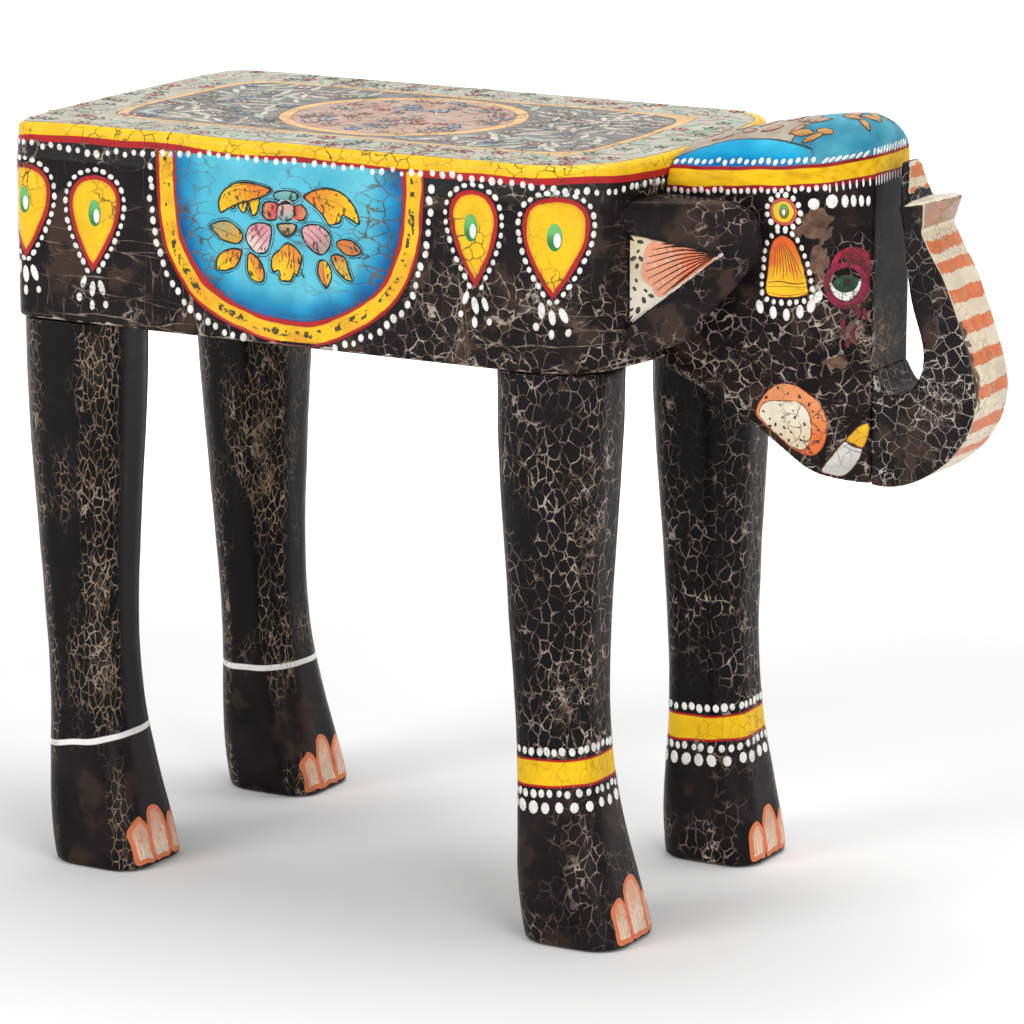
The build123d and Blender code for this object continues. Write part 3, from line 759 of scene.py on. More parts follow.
class Paint:
    """Patches and strokes of paint gathered into one thin mesh."""

    RINGS = (0.0, 0.0, 0.04, 0.10, 0.19, 0.31, 0.46, 0.64, 0.83)
    PATCH_FOOT, STROKE_FOOT = -0.12, -0.05

    def __init__(self, name):
        self.name, self.spots, self.faces = name, [], []
        self.values = {"rim": [], "along": [], "first": [], "second": []}

    def lay(self, sheet, flat, lifts, rim, along, first, second):
        """Lands the points of a drawing on the wood and returns their numbers."""
        numbers = []
        for point, lift, edge, way in zip(flat, lifts, rim, along):
            hit = sheet.at(*point)
            numbers.append(len(self.spots) if hit else None)
            if hit:
                self.spots.append(hit[0] + hit[1] * lift * MM)
                for key, value in zip(self.values, (edge, way, (*first, 1), (*second, 1))):
                    self.values[key].append(value)
        return numbers

    def face(self, numbers, outward):
        """One face, turned outwards."""
        if None in numbers:
            return
        a, b, c = (self.spots[n] for n in numbers[:3])
        self.faces.append(numbers if (b - a).cross(c - a).dot(outward) > 0 else numbers[::-1])

    def patch(self, sheet, outline, first, second=None, lift=0.16, rim=None, centre=None, lean=90.0):
        """A raised patch inside a closed outline."""
        centre = outline.mean(axis=0) if centre is None else np.array(centre)
        rim = np.vstack([outline, outline[:1]]) if rim is None else rim
        flat = np.vstack([outline * (1 - t) + centre * t for t in self.RINGS] + [centre])
        way = flat @ np.array([math.cos(math.radians(lean)), math.sin(math.radians(lean))])
        way = (way - way.min()) / max(np.ptp(way), 1e-6)
        count = len(outline)
        lifts = np.concatenate([np.full(count, self.PATCH_FOOT), np.full(len(flat) - count, lift)])
        numbers = self.lay(sheet, flat, lifts, gap(flat, rim), way, first, second or first)
        hit = sheet.at(*centre) or sheet.at(*outline[0])
        for corners in ring_faces(len(self.RINGS), count):
            self.face([numbers[k] for k in corners], hit[1])

    def stroke(self, sheet, path, width, first, second=None, lift=0.25, taper=0.35, steps=None):
        """A bead of paint along a path, thinner towards its ends."""
        steps = steps or max(6, int(len(path) * 4))
        path = smooth_line(path, steps, closed=False)
        tangent = np.gradient(path, axis=0)
        tangent /= np.maximum(np.hypot(*tangent.T), 1e-9)[:, None]
        side = np.stack([-tangent[:, 1], tangent[:, 0]], axis=1)
        t = np.linspace(0, 1, steps)
        half = width / 2 * (taper + (1 - taper) * np.sqrt(np.sin(np.pi * np.clip(t, 0.03, 0.97))))
        numbers = []
        for shift, high in ((-1.0, self.STROKE_FOOT), (0.0, lift), (1.0, self.STROKE_FOOT)):
            row = path + side * half[:, None] * shift
            rim = half * (1.0 - abs(shift))
            numbers.append(self.lay(sheet, row, [high] * steps, rim, t, first, second or first))
        hit = sheet.at(*path[steps // 2])
        for a, b in zip(numbers, numbers[1:]):
            for i in range(steps - 1):
                self.face([a[i], a[i + 1], b[i + 1], b[i]], hit[1])

    def make(self, material):
        """The finished piece."""
        mesh = new_mesh(self.name, self.spots, self.faces)
        for key, values in self.values.items():
            store(mesh, key, values, "FLOAT" if key in ("rim", "along") else "FLOAT_COLOR")
        mesh.materials.append(material)
        return settle(placed(self.name, mesh))


# %% [markdown]
# ## Copies by Geometry Nodes
# The painter set many hundred white dots, each a small dome of thick paint. One node tree puts a
# low dome on every point it is given, turns and sizes it, and varies it a little at random.
# The same tree later sets the small flowers and leaves on the seat.

# %% The node tree that sets copies
COPY_INPUTS = {
    "Points": "Geometry",
    "Copy": "Object",
    "Paint": "Material",
    "Size spread": "Float",
    "Turn spread": "Float",
    "Seed": "Int",
}


def copies_tree():
    """Points in, one mesh of copies out."""
    tree = bpy.data.node_groups.new("set_copies", "GeometryNodeTree")
    for title, kind in COPY_INPUTS.items():
        tree.interface.new_socket(title, in_out="INPUT", socket_type="NodeSocket" + kind)
    tree.interface.new_socket("Result", in_out="OUTPUT", socket_type="NodeSocketGeometry")
    recipe = Recipe(tree)
    given = recipe.nodes("NodeGroupInput")

    def stored(name):
        return recipe.node("GeometryNodeInputNamedAttribute", {"Name": name}, data_type="FLOAT_VECTOR")

    def random(low, high):
        limits = {2: low, 3: high, "Seed": given["Seed"]}
        return recipe.node("FunctionNodeRandomValue", limits, data_type="FLOAT")

    shape = recipe.nodes("GeometryNodeObjectInfo", {"Object": given["Copy"]})["Geometry"]
    spread = given["Size spread"]
    size = recipe.vector("SCALE", stored("size"), random(1.0 - spread, spread + 1.0))
    places = {"Points": given["Points"], "Instance": shape, "Rotation": stored("turn"), "Scale": size}
    copies = recipe.node("GeometryNodeInstanceOnPoints", places)
    spin = random(given["Turn spread"] * -1.0, given["Turn spread"])
    about = recipe.node("ShaderNodeCombineXYZ", {2: spin})
    turned = recipe.node("GeometryNodeRotateInstances", {"Instances": copies, "Rotation": about})
    real = recipe.node("GeometryNodeRealizeInstances", {0: turned})
    painted = recipe.node("GeometryNodeSetMaterial", {"Geometry": real, "Material": given["Paint"]})
    feed(tree, painted, tree.nodes.new("NodeGroupOutput").inputs[0])
    return tree


set_copies = copies_tree()
print("copy tree:", len(set_copies.nodes), "nodes")

# %% Shapes that are copied


def shape_object(name, spots, faces, rim):
    """A small shape about 1 across, lying flat, with its own rim value."""
    mesh = new_mesh(name, spots, faces)
    store(mesh, "rim", rim)
    return placed(name, mesh)


def dome(sides=9):
    """A low dome of paint with its foot just below the surface."""
    spots = []
    for radius, height in ((0.5, -0.10), (0.46, 0.09), (0.27, 0.20)):
        for angle in (math.tau * i / sides for i in range(sides)):
            spots.append((radius * math.cos(angle), radius * math.sin(angle), height))
    spots.append((0.0, 0.0, 0.24))
    return shape_object("dot_shape", spots, ring_faces(3, sides), [0.0] * len(spots))


def bloom(petals=5):
    """A small flat flower."""
    count = petals * 4
    spots = []
    for wave, height, share in ((1.0, -0.03, 1.0), (1.0, 0.05, 1.0), (0.45, 0.06, 0.45)):
        for angle in (math.tau * i / count for i in range(count)):
            radius = 0.5 * share * (0.78 + 0.22 * math.cos(petals * angle) * wave)
            spots.append((radius * math.cos(angle), radius * math.sin(angle), height))
    spots.append((0.0, 0.0, 0.07))
    rim = [0.0] * 2 * count + [0.55] * count + [1.0]
    return shape_object("bloom_shape", spots, ring_faces(3, count), rim)


def leaf_shape():
    """A small flat pointed leaf with a raised middle."""
    half = np.array([0.0, 0.10, 0.19, 0.22, 0.17, 0.08, 0.0])
    along = np.linspace(-0.5, 0.5, len(half))
    spots, faces, n = [], [], len(half)
    for side, height in ((-1.0, 0.0), (0.0, 0.09), (1.0, 0.0)):
        spots += [(x, side * w, height) for x, w in zip(along, half)]
    for first in (0, n):
        faces += [(first + i, first + i + 1, first + n + i + 1, first + n + i) for i in range(n - 1)]
    return shape_object("leaf_shape", spots, faces, [0.0] * n + [1.0] * n + [0.0] * n)


SHAPES = {"dot": dome(), "bloom": bloom(), "leaf": leaf_shape()}


class Spots:
    """Places where copies are set, each with its own turn, size and tint."""

    def __init__(self):
        self.places, self.turns, self.sizes, self.tints = [], [], [], []

    def add(self, sheet, a, b, wide, tall, turn=0.0, tint=(1, 1, 1), high=None):
        """One copy at a point of a drawing, its own x turned from the drawing's across."""
        hit = sheet.at(a, b)
        if hit is None:
            return
        place, normal, across = hit
        right = (across - normal * across.dot(normal)).normalized()
        over = normal.cross(right)
        c, s = math.cos(math.radians(turn)), math.sin(math.radians(turn))
        matrix = Matrix((right * c + over * s, over * c - right * s, normal)).transposed()
        self.places.append(place)
        self.turns.append(tuple(matrix.to_euler()))
        self.sizes.append((wide * MM, tall * MM, (high or min(wide, tall)) * MM))
        self.tints.append((*tint, 1.0))

    def make(self, name, shape, material, spread, seed, turn_spread=0.1):
        """The copies as one finished piece."""
        piece = placed(name, new_mesh(name, self.places))
        store(piece.data, "turn", self.turns, "FLOAT_VECTOR")
        store(piece.data, "size", self.sizes, "FLOAT_VECTOR")
        store(piece.data, "tint", self.tints, "FLOAT_COLOR")
        modifier = piece.modifiers.new("copies", "NODES")
        modifier.node_group = set_copies
        given = dict(zip(list(COPY_INPUTS)[1:], (SHAPES[shape], material, spread, turn_spread, seed)))
        for item in set_copies.interface.items_tree:
            if item.name in given:
                modifier[item.identifier] = given[item.name]
        bpy.context.view_layer.update()
        applied(piece, name)
        print(name, "copies:", len(self.places))
        return settle(piece)


# %% [markdown]
# ## Ornament paints
# The ornaments share three finishes: enamel with a thin dark outline, white dots, and tinted motifs.
# Enamel is stiffer than the black ground, so its cracks are short, fine and dark.

# %% Ornament paints


def enamel(name, outline, dark=INK, size=8.0, lost=0.26, streaks=0.0):
    """Glossy colour that fades along the patch, inside a dark outline of the given width."""
    paint = Finish(name)
    along = paint.read("along") + paint.mottle(140.0, -0.16, 0.16)
    fill = paint.blend(along.span(0.15, 0.85), paint.read("first", "Color"), paint.read("second", "Color"))
    if streaks:
        flecks = paint.mottle(480.0, detail=2.0, stretch=(1.0, 1.0, 0.5)).span(0.70, 0.84)
        fill = paint.blend(flecks * streaks, fill, dark)
    if outline:
        rim = paint.read("rim") + paint.mottle(240.0, -0.35, 0.35)
        fill = paint.blend(rim.span(outline - 0.12, outline + 0.12), dark, fill)
    return paint.painted(fill, paint.net(size, 0.34, lost, 0.2), UNDERCOAT, 0.28, 0.5)


plain_enamel = enamel("plain_enamel", 0.0)
outlined_enamel = enamel("outlined_enamel", 0.95, streaks=0.85)
paint = Finish("white_dot_paint")
tone = paint.blend(paint.mottle(300.0, -0.6, 0.9), WHITE, (0.66, 0.62, 0.57))
white_paint = paint.painted(tone, paint.net(4.0, 0.22, 0.30, 0.15), (0.12, 0.10, 0.09), 0.38, 0.5, 0.0002)
paint = Finish("motif_paint")
tint = paint.read("tint", "Color")
edge = paint.blend(0.75, tint, (0.03, 0.02, 0.02))
rim = paint.read("rim") + paint.mottle(500.0, -0.2, 0.2)
fill = paint.blend(rim.span(0.18, 0.42), edge, tint)
motif_paint = paint.painted(fill, paint.net(5.0, 0.3, 0.38, 0.2), UNDERCOAT, 0.4, 0.6)
print("ornament paints:", plain_enamel.name, outlined_enamel.name, white_paint.name, motif_paint.name)

# %% [markdown]
# ## Flank panel
# Each flank carries a blue cloth shape with a yellow border, like a saddle cloth. The blue is
# light in the middle and deep at the rim. The border is yellow between two red lines.

# %% Panel outlines
CLOTH_OUTER = [
    (-89.8, 420), (-89.4, 405), (-88.9, 392.3), (-86.1, 370.1), (-80, 357), (-74.6, 348.6),
    (-65.6, 338.2), (-48.7, 328.6), (-20.2, 320.3), (5.1, 318.6), (18.4, 321), (31.2, 326.1),
    (47.1, 334.9), (59.8, 344.3), (69.2, 356.2), (76, 371), (79.4, 384.5), (81.3, 406.4), (81.4, 421),
]
CLOTH_BLUE = [
    (-77.3, 420), (-76.7, 408), (-76.4, 393.3), (-74.1, 376.7), (-67.8, 363.8), (-57.5, 351.3),
    (-43.3, 341.4), (-26.5, 335.1), (-7.1, 332.8), (10, 333.2), (24.9, 337.6), (35.1, 342.6),
    (49.1, 351.5), (58.6, 363.5), (65, 380.5), (68.2, 398.8), (68, 421),
]
CLOTH_CENTRE = (-4.0, 385.0)
cloth_outer = smooth_line(CLOTH_OUTER, 90, closed=False)
cloth_blue = smooth_line(CLOTH_BLUE, 80, closed=False)


def closed_top(line, count=24):
    """The open line with a straight run of points across its top."""
    return np.vstack([line, np.linspace(line[-1], line[0], count)[1:-1]])


# %% Panel paints
paint = Finish("cloth_border_paint")
rim = paint.read("rim") + paint.mottle(60.0, -0.5, 0.5, 2.0)
deep_yellow = paint.blend(paint.mottle(90.0, -0.5), YELLOW, (0.80, 0.36, 0.02))
specks = paint.mottle(420.0, detail=2.0, stretch=(0.6, 1.0, 0.6)).span(0.62, 0.78)
streak = paint.blend(specks, deep_yellow, (0.05, 0.05, 0.02))
colour = paint.bands(rim, RED, [(1.9, deep_yellow), (4.6, streak), (8.6, deep_yellow), (10.8, RED)], 0.3)
cloth_border = paint.painted(colour, paint.net(7.0, 0.34, 0.30, 0.2), UNDERCOAT, 0.28, 0.5)

paint = Finish("cloth_blue_paint")
rim = paint.read("rim") + paint.mottle(30.0, -3.0, 3.0, 2.0)
deep = paint.blend(rim.span(0.0, 9.0), (0.001, 0.10, 0.30), (0.006, 0.27, 0.50))
light = paint.blend(paint.mottle(45.0), (0.06, 0.46, 0.62), (0.14, 0.56, 0.68))
colour = paint.blend(rim.span(6.0, 19.0), deep, light)
from_middle = abs(paint.parts(paint.place())[0] * 1000.0 - (MIDDLE + CLOTH_CENTRE[0]))
net = paint.net(7.0, 0.46, from_middle.span(34.0, 58.0, 0.29, 0.43), 0.4, (0.55, 0.55, 1.0))
brown = paint.blend(paint.mottle(120.0), (0.05, 0.03, 0.02), (0.20, 0.12, 0.08))
cloth_blue_paint = paint.painted(colour, net, brown, 0.26, 0.6)

# %% Paint the panels on both flanks
cloth_edge, cloth_field = Paint("cloth_border"), Paint("cloth_field")
for sheet in flanks:
    for cloth, line, lift in ((cloth_edge, cloth_outer, 0.10), (cloth_field, cloth_blue, 0.22)):
        cloth.patch(sheet, closed_top(line), RED, lift=lift, rim=line, centre=CLOTH_CENTRE)
cloth_edge.make(cloth_border)
cloth_field.make(cloth_blue_paint)

# %% [markdown]
# ## Bouquet
# In the middle of the cloth a bunch of flowers and leaves is drawn with a fine black brush and
# filled with bright colour. Every petal is a patch with a dark rim, and its veins are strokes.

# %% Flowers and leaves of the bouquet: outline, first and second colour, and which way they fade
LEAF_YELLOW, LEAF_ORANGE, PINK = (0.86, 0.52, 0.015), (0.78, 0.22, 0.03), (0.58, 0.02, 0.09)
PALE, SAGE, BUFF = (0.74, 0.62, 0.58), (0.14, 0.36, 0.36), (0.36, 0.22, 0.11)
BOUQUET = [
    ([(-35.6, 403.5), (-36.8, 396), (-35.2, 391), (-32.2, 389.6), (-30, 393.5), (-29.8, 403.5)],
      LEAF_YELLOW, (0.82, 0.40, 0.02), 0),
    ([(-29.8, 403.5), (-29.6, 394.4), (-27.6, 388.6), (-24.2, 389.6), (-22.4, 395), (-22.2, 403.5)],
      LEAF_YELLOW, LEAF_YELLOW, 0),
    ([(-43.4, 401.5), (-43.2, 395.8), (-41, 391.6), (-38, 392.6), (-36.4, 402.5)],
      LEAF_YELLOW, LEAF_YELLOW, 0),
    ([(-47.6, 388.4), (-49.4, 394), (-46.6, 400.4), (-40.2, 405.2), (-31.6, 407.4), (-22.4, 406.4),
      (-14.2, 404.4), (-20, 399.6), (-28, 396.8), (-36, 394.2), (-42, 391.4)],
      LEAF_YELLOW, LEAF_ORANGE, 0),
    ([(5.3, 402), (10.3, 405.4), (16, 407.4), (21.7, 408.2), (28.7, 406.9), (34.3, 403.7), (38.4, 399.2),
      (40.5, 395.1), (41.5, 389.7), (38.4, 390.1), (34.2, 392.2), (30.7, 393.7), (29.6, 389.9),
      (27.1, 388.5), (22.2, 387.5), (19.4, 390.3), (16.6, 393.7), (12.4, 397), (8.9, 399.2)],
      LEAF_ORANGE, LEAF_YELLOW, 0),
    ([(-13.9, 401), (-11.7, 403.6), (-6.7, 404.6), (-0.3, 404.5), (3.2, 402.4), (1.8, 399.8),
      (-2.5, 398.2), (-8.2, 397.8), (-11.7, 398.7)], SAGE, (0.20, 0.44, 0.40), 90),
    ([(-21.1, 392.4), (-20.3, 396.1), (-16.7, 398), (-11.8, 397.5), (-9.6, 395.2), (-10.4, 390.8),
      (-11.9, 387.6), (-15.5, 386.7), (-19, 387.6), (-21.1, 389.9)],
      (0.72, 0.28, 0.13), (0.62, 0.06, 0.09), 0),
    ([(0.3, 396.6), (4.6, 397.6), (7.4, 395.4), (8.1, 392.4), (5.9, 388.8), (1.7, 388.2), (-1.2, 389.8),
      (-0.4, 393.5)], (0.62, 0.08, 0.08), (0.72, 0.26, 0.12), 0),
    ([(-11.1, 395.7), (-6.8, 397.9), (-1.8, 397.7), (0.3, 394.8), (-0.5, 390.4), (-4, 387.7),
      (-8.3, 387.9), (-11.1, 390.8)], (0.30, 0.40, 0.36), (0.66, 0.36, 0.32), 90),
    ([(-11.2, 385.2), (-5.5, 386.9), (0.9, 386.3), (0.9, 383.2), (-2, 379.9), (-5.6, 378.9),
      (-9.1, 381.1)], BUFF, (0.55, 0.40, 0.22), 90),
    ([(-31.3, 379.2), (-29.1, 383.1), (-24.1, 385.4), (-18.3, 385.5), (-14.8, 384.3), (-14.5, 379.4),
      (-15.6, 374.4), (-17.8, 369.2), (-21.4, 367.7), (-26.4, 368.5), (-30, 371.9), (-31.7, 375.4)],
      PALE, (0.62, 0.30, 0.34), 60),
    ([(4.1, 382.2), (5.2, 385.4), (9.4, 387.3), (15.8, 387.5), (20.7, 384.9), (23.5, 380.9),
      (22.8, 375.9), (19.9, 372), (15.7, 370.4), (10, 372.9), (5.8, 377.5)],
      (0.40, 0.33, 0.30), (0.70, 0.40, 0.42), 120),
    ([(-55.1, 380.8), (-50, 383.8), (-43.5, 384.9), (-37.7, 382.3), (-33.8, 379), (-33.2, 375.3),
      (-36.4, 372.2), (-41.5, 372.1), (-47.2, 373.5), (-51.5, 376.8)],
      (0.40, 0.36, 0.16), (0.66, 0.36, 0.05), -20),
    ([(-51.1, 358.9), (-50.6, 363.2), (-46.6, 367.3), (-40.8, 369.7), (-35.8, 369.8), (-34, 368.4),
      (-35.1, 363.4), (-38.8, 358.7), (-44.6, 356.3), (-49.7, 356.5)], LEAF_YELLOW, LEAF_ORANGE, 30),
    ([(-30.8, 365), (-29.3, 368.2), (-25.7, 367.3), (-21.5, 363.4), (-19.4, 358), (-20.2, 353),
      (-23.8, 351.7), (-28.1, 353.5), (-30.9, 358.2)], LEAF_YELLOW, LEAF_ORANGE, 20),
    ([(-15.7, 363.9), (-14.2, 368.3), (-9.9, 371.8), (-5.6, 375.9), (-1.3, 375), (2.2, 372.2), (5, 368.2),
      (3.5, 362.5), (1.3, 357.4), (-0.8, 358.4), (-1.9, 354.6), (-5.8, 353.6), (-9.8, 354.5),
      (-10.4, 359.4), (-13.7, 357.9), (-15.4, 360.2)], LEAF_YELLOW, (0.76, 0.26, 0.03), 60),
    ([(14.2, 364.1), (15.6, 367.9), (19.2, 368.2), (22.7, 364.8), (23.7, 359.4), (21.9, 354.3),
      (19.7, 352.3), (16.2, 356.3), (14.1, 360.4)], (0.66, 0.22, 0.05), LEAF_YELLOW, 20),
    ([(26.3, 378.6), (30.6, 380.9), (36.2, 380.7), (41.1, 377.5), (42.5, 373.9), (38.2, 371.7),
      (32.6, 371.9), (28.4, 374.5)], (0.66, 0.20, 0.04), (0.56, 0.20, 0.07), 0),
    ([(22.7, 370.4), (27, 372.6), (32.6, 370), (34.7, 364.1), (36.7, 358.1), (31.8, 358.3), (26.9, 362.2),
      (24.1, 366.2)], (0.70, 0.44, 0.06), (0.56, 0.22, 0.05), 90),
]

# %% Lines of the bouquet
INK_LINES = [
    [(-45, 399), (-36, 402.5), (-27, 402), (-18.5, 404)], [(-42, 403), (-33, 405.5), (-24, 405.5)],
    [(7, 402.5), (16, 402), (25, 401), (34, 397)], [(12, 399), (20, 395), (26, 392)],
    [(-50, 358), (-43, 362.5), (-35, 368.5)], [(-28.5, 367), (-26.5, 360), (-22.5, 353.5)],
    [(18, 367), (18.2, 360), (20, 353.5)], [(27.5, 378), (34, 376.8), (41, 374.2)],
    [(-53, 380.5), (-45, 378.5), (-35, 375.5)], [(25, 370), (29, 365), (35, 359.5)],
    [(-4, 374.5), (-3.6, 367), (-5.4, 361)], [(-8.2, 371), (-8, 365)], [(-0.5, 372), (-1, 366)],
    [(42.5, 373.9), (47, 373), (44, 371.5), (34, 370.8)], [(-55.1, 380.8), (-50, 377), (-48, 373.6)],
    [(3.5, 362.5), (6, 357), (4, 359), (1, 360.5)],
]
BUD_LINES = [
    [(-29, 374), (-24.5, 379), (-19.5, 383.5)], [(-27, 370.8), (-22.5, 376.5), (-17.5, 381.5)],
    [(-24, 369.3), (-20.5, 373.5), (-16.4, 378.5)], [(-30.5, 377.5), (-27, 381), (-23.5, 383.9)],
    [(5.8, 382.5), (11, 379.5), (17.5, 373)], [(8, 385.3), (14, 381), (20.5, 375.2)],
    [(13, 386.4), (18, 382.4), (22.2, 377.8)], [(6.5, 378.3), (10.5, 375.5), (14.5, 371.7)],
]
GLINTS = [
    [(-10.4, 396.8), (-8.6, 398.6), (-6.4, 398.9)], [(-4.6, 399), (-2.4, 398.6), (-1, 397.2)],
    [(-10.8, 392), (-10.2, 389)], [(-1.6, 390.4), (0.2, 388.6), (2, 388.8)], [(-6.4, 396), (-4.6, 396.6)],
    [(-8.6, 388.6), (-6, 387.6)],
]

# %% Bouquet
bouquet, veins = Paint("bouquet"), Paint("bouquet_lines")
LOWEST, LIFT_STEP, LIFT_STEPS = 0.28, 0.05, 5
CURVE = 48
rng = np.random.default_rng(31)
for sheet in flanks:
    # neighbours lie at different heights, so that no two cross where they overlap
    for i, (outline, first, second, lean) in enumerate(BOUQUET):
        curve = smooth_line(outline, CURVE)
        bouquet.patch(sheet, curve, first, second, lift=LOWEST + LIFT_STEP * (i % LIFT_STEPS), lean=lean)
        loose = widened(curve, rng.uniform(0.5, 1.3))
        again = np.roll(loose, rng.integers(CURVE), axis=0)[:rng.integers(22, 40)]
        veins.stroke(sheet, again[::3], 0.8, INK, lift=0.54, taper=0.3)
    for path in GLINTS:
        veins.stroke(sheet, path, 1.5, (0.86, 0.74, 0.74), lift=0.56, steps=8)
    for path in INK_LINES:
        veins.stroke(sheet, path, 0.85, INK, lift=0.62)
    for path in BUD_LINES:
        veins.stroke(sheet, path, 1.5, PINK, lift=0.56)
    veins.stroke(sheet, [(-7.0, 393.5), (-4.5, 392.0), (-2.5, 389.8)], 1.5, (0.75, 0.45, 0.50), lift=0.56)
    veins.stroke(sheet, [(-13.0, 395.5), (-15.0, 392.0)], 1.5, RED, lift=0.56)
bouquet.make(outlined_enamel)
veins.make(plain_enamel)

# %% [markdown]
# ## Teardrops
# Yellow drops with a red rim and a green and white seed hang along the flanks and round the rear
# corners. A list of half widths from top to tip gives the outline, as a paper template would.

# %% Teardrops
DROP_DOWN = [0.0, 0.012, 0.05, 0.12, 0.20, 0.29, 0.42, 0.56, 0.70, 0.84, 0.94, 1.0]
DROP_HALF = [0.0, 0.30, 0.62, 0.85, 0.96, 1.0, 0.95, 0.81, 0.60, 0.34, 0.14, 0.0]
DROPS = [  # middle, tip, top, foot and width
    (-177.5, -178, 406, 352.4, 35), (-129.8, -133, 402.9, 347.9, 34.1), (111.6, 113.4, 414.5, 361.4, 30),
    (161.5, 159.5, 414, 358.6, 38), (-226, -226, 404, 350, 34), (-270, -270, 404, 350, 34),
]
GREEN, LIGHT_GREEN = (0.02, 0.22, 0.06), (0.16, 0.50, 0.16)


def drop(middle, tip, top, low, wide, count=40):
    """The outline of a hanging drop."""
    down = np.concatenate([np.linspace(0, 0.12, 9)[:-1], np.linspace(0.12, 1.0, count // 2 - 8)])
    half = np.interp(down, DROP_DOWN, DROP_HALF) * wide / 2
    lean = middle + (tip - middle) * down
    height = top + (low - top) * down
    right = np.stack([lean + half, height], axis=1)
    left = np.stack([lean - half, height], axis=1)[::-1][1:-1]
    return np.vstack([right, left])


paint = Finish("drop_paint")
rim = paint.read("rim") + paint.mottle(80.0, -0.4, 0.4, 2.0)
warm = paint.blend(rim.span(2.4, 5.0), (0.78, 0.38, 0.015), YELLOW)
colour = paint.bands(rim, RED, [(2.5, warm)], 0.3)
drop_paint = paint.painted(colour, paint.net(8.0, 0.46, 0.33, 0.2), UNDERCOAT, 0.28, 0.5)
drops, seeds = Paint("teardrops"), Paint("teardrop_seeds")
for sheet in flanks:
    for middle, tip, top, low, wide in DROPS:
        outline = drop(middle, tip, top, low, wide)
        drops.patch(sheet, outline, RED, centre=(middle, top - 0.38 * (top - low)), lift=0.2)
        seed = top - 0.39 * (top - low)
        seeds.patch(sheet, oval(middle - 1.0, seed, 8.2, 15.0), GREEN, LIGHT_GREEN, lift=0.36)
        seeds.patch(sheet, oval(middle + 0.4, seed - 1.6, 3.9, 8.0), WHITE, lift=0.52)
drops.make(drop_paint)
seeds.make(plain_enamel)

# %% [markdown]
# ## Dots on the body
# A row of white dots follows the red line round the seat, and others ring every drop and the cloth.
# Below each drop hang three long dots and three short ones.

# %% Dots on the body
SEAT_ROW = [
    (-295, 417), (-170, 417.2), (-137, 415.4), (-114, 416), (-96, 417.6), (-61, 420), (3, 420.2),
    (85, 420.6), (128, 420.6), (160, 418.4), (195, 415.4), (240, 415.4),
]
TASSEL = [  # sideways, below the tip, width, height and turn of each dot under a drop
    (-6.2, 6, 4.1, 9.2, -14), (-0.3, 9.6, 4.3, 9.8, 0), (5.8, 8.4, 4.1, 9, 16), (-9.2, 15, 3.8, 4.8, 0),
    (-0.6, 18.8, 3.6, 6.6, 0), (8.4, 17.8, 3.6, 4.8, 0),
]
cloth_ring = []
for x, z in CLOTH_OUTER:
    aside = math.copysign(4.2, x) if abs(x) > 40 else 0.0
    cloth_ring.append((x + aside, z if x < -80 or x > 75 else z - 4.0))
cloth_ring = smooth_line(cloth_ring, 120, closed=False)[4:-4]
DOT_ROWS = [  # line, pitch, least and greatest size, loose setting, width, height and loose turn
    (SEAT_ROW, 6.1, 0.88, 1.18, 0.55, 3.3, 3.9, 14),
    (cloth_ring, 6.0, 0.9, 1.2, 0.5, 3.4, 4.3, 15),
]
body_dots = Spots()
rng = np.random.default_rng(11)
for sheet in flanks:
    for line, pitch, least, most, loose, wide, tall, turn in DOT_ROWS:
        for a, b, _ in march(line, pitch):
            size = rng.uniform(least, most)
            a, b = a + rng.normal(0, 0.5), b + rng.normal(0, loose)
            body_dots.add(sheet, a, b, wide * size, tall * size, rng.normal(0, turn))
    for middle, tip, top, low, wide in DROPS:
        ring = widened(drop(middle, tip, top, low, wide, 60), 2.6)
        for a, b, way in march(ring, 5.2, closed=True):
            if b > low - 1.5:
                body_dots.add(sheet, a, b + rng.normal(0, 0.3), 3.0, 3.9, way - 90 + rng.normal(0, 10))
        for aside, below, wide, tall, turn in TASSEL:
            body_dots.add(sheet, tip + aside, low - below, wide, tall, turn + rng.normal(0, 6), high=2.6)
body_dots.make("body_dots", "dot", white_paint, 0.14, 4)

# %% [markdown]
# ## Head paint
# The head wears a blue cap with a yellow band between red lines. Below the band the face is black.
# The band is not level: it climbs towards the brow. So each point of the head stores its height
# above the band's middle line, and the cap paint reads that.

# %% Heights above the cap band
BAND_ALONG = [180.0, 209.0, 236.0, 253.0, 267.0, 281.0, 294.0, 303.0]
BAND_RISE = [416.6, 418.4, 420.8, 422.2, 423.8, 425.4, 427.6, 429.0]
CROWN_ALONG = [186.0, 191.0, 202.0, 216.0, 233.0, 249.0, 264.0, 273.0, 279.0, 300.0]
CROWN_HALF = [42.0, 35.0, 28.4, 25.4, 26.8, 30.4, 34.6, 37.6, 44.0, 90.0]
BARE = [  # middle, height, width and tallness of each bare spot
    (278, 398, 9.5, 10), (279.5, 380, 5, 11), (296, 340, 4, 7), (287, 323, 6, 3.5),
]


def band_height(x):
    """The height of the band's middle at a distance along the head."""
    return np.interp(x, BAND_ALONG, BAND_RISE)


def worn_spot(along, height, middle, level, wide, tall, reach):
    """A soft oval of wear that fades out at its reach."""
    return reach - np.sqrt(((along - middle) / wide) ** 2 + ((height - level) / tall) ** 2)


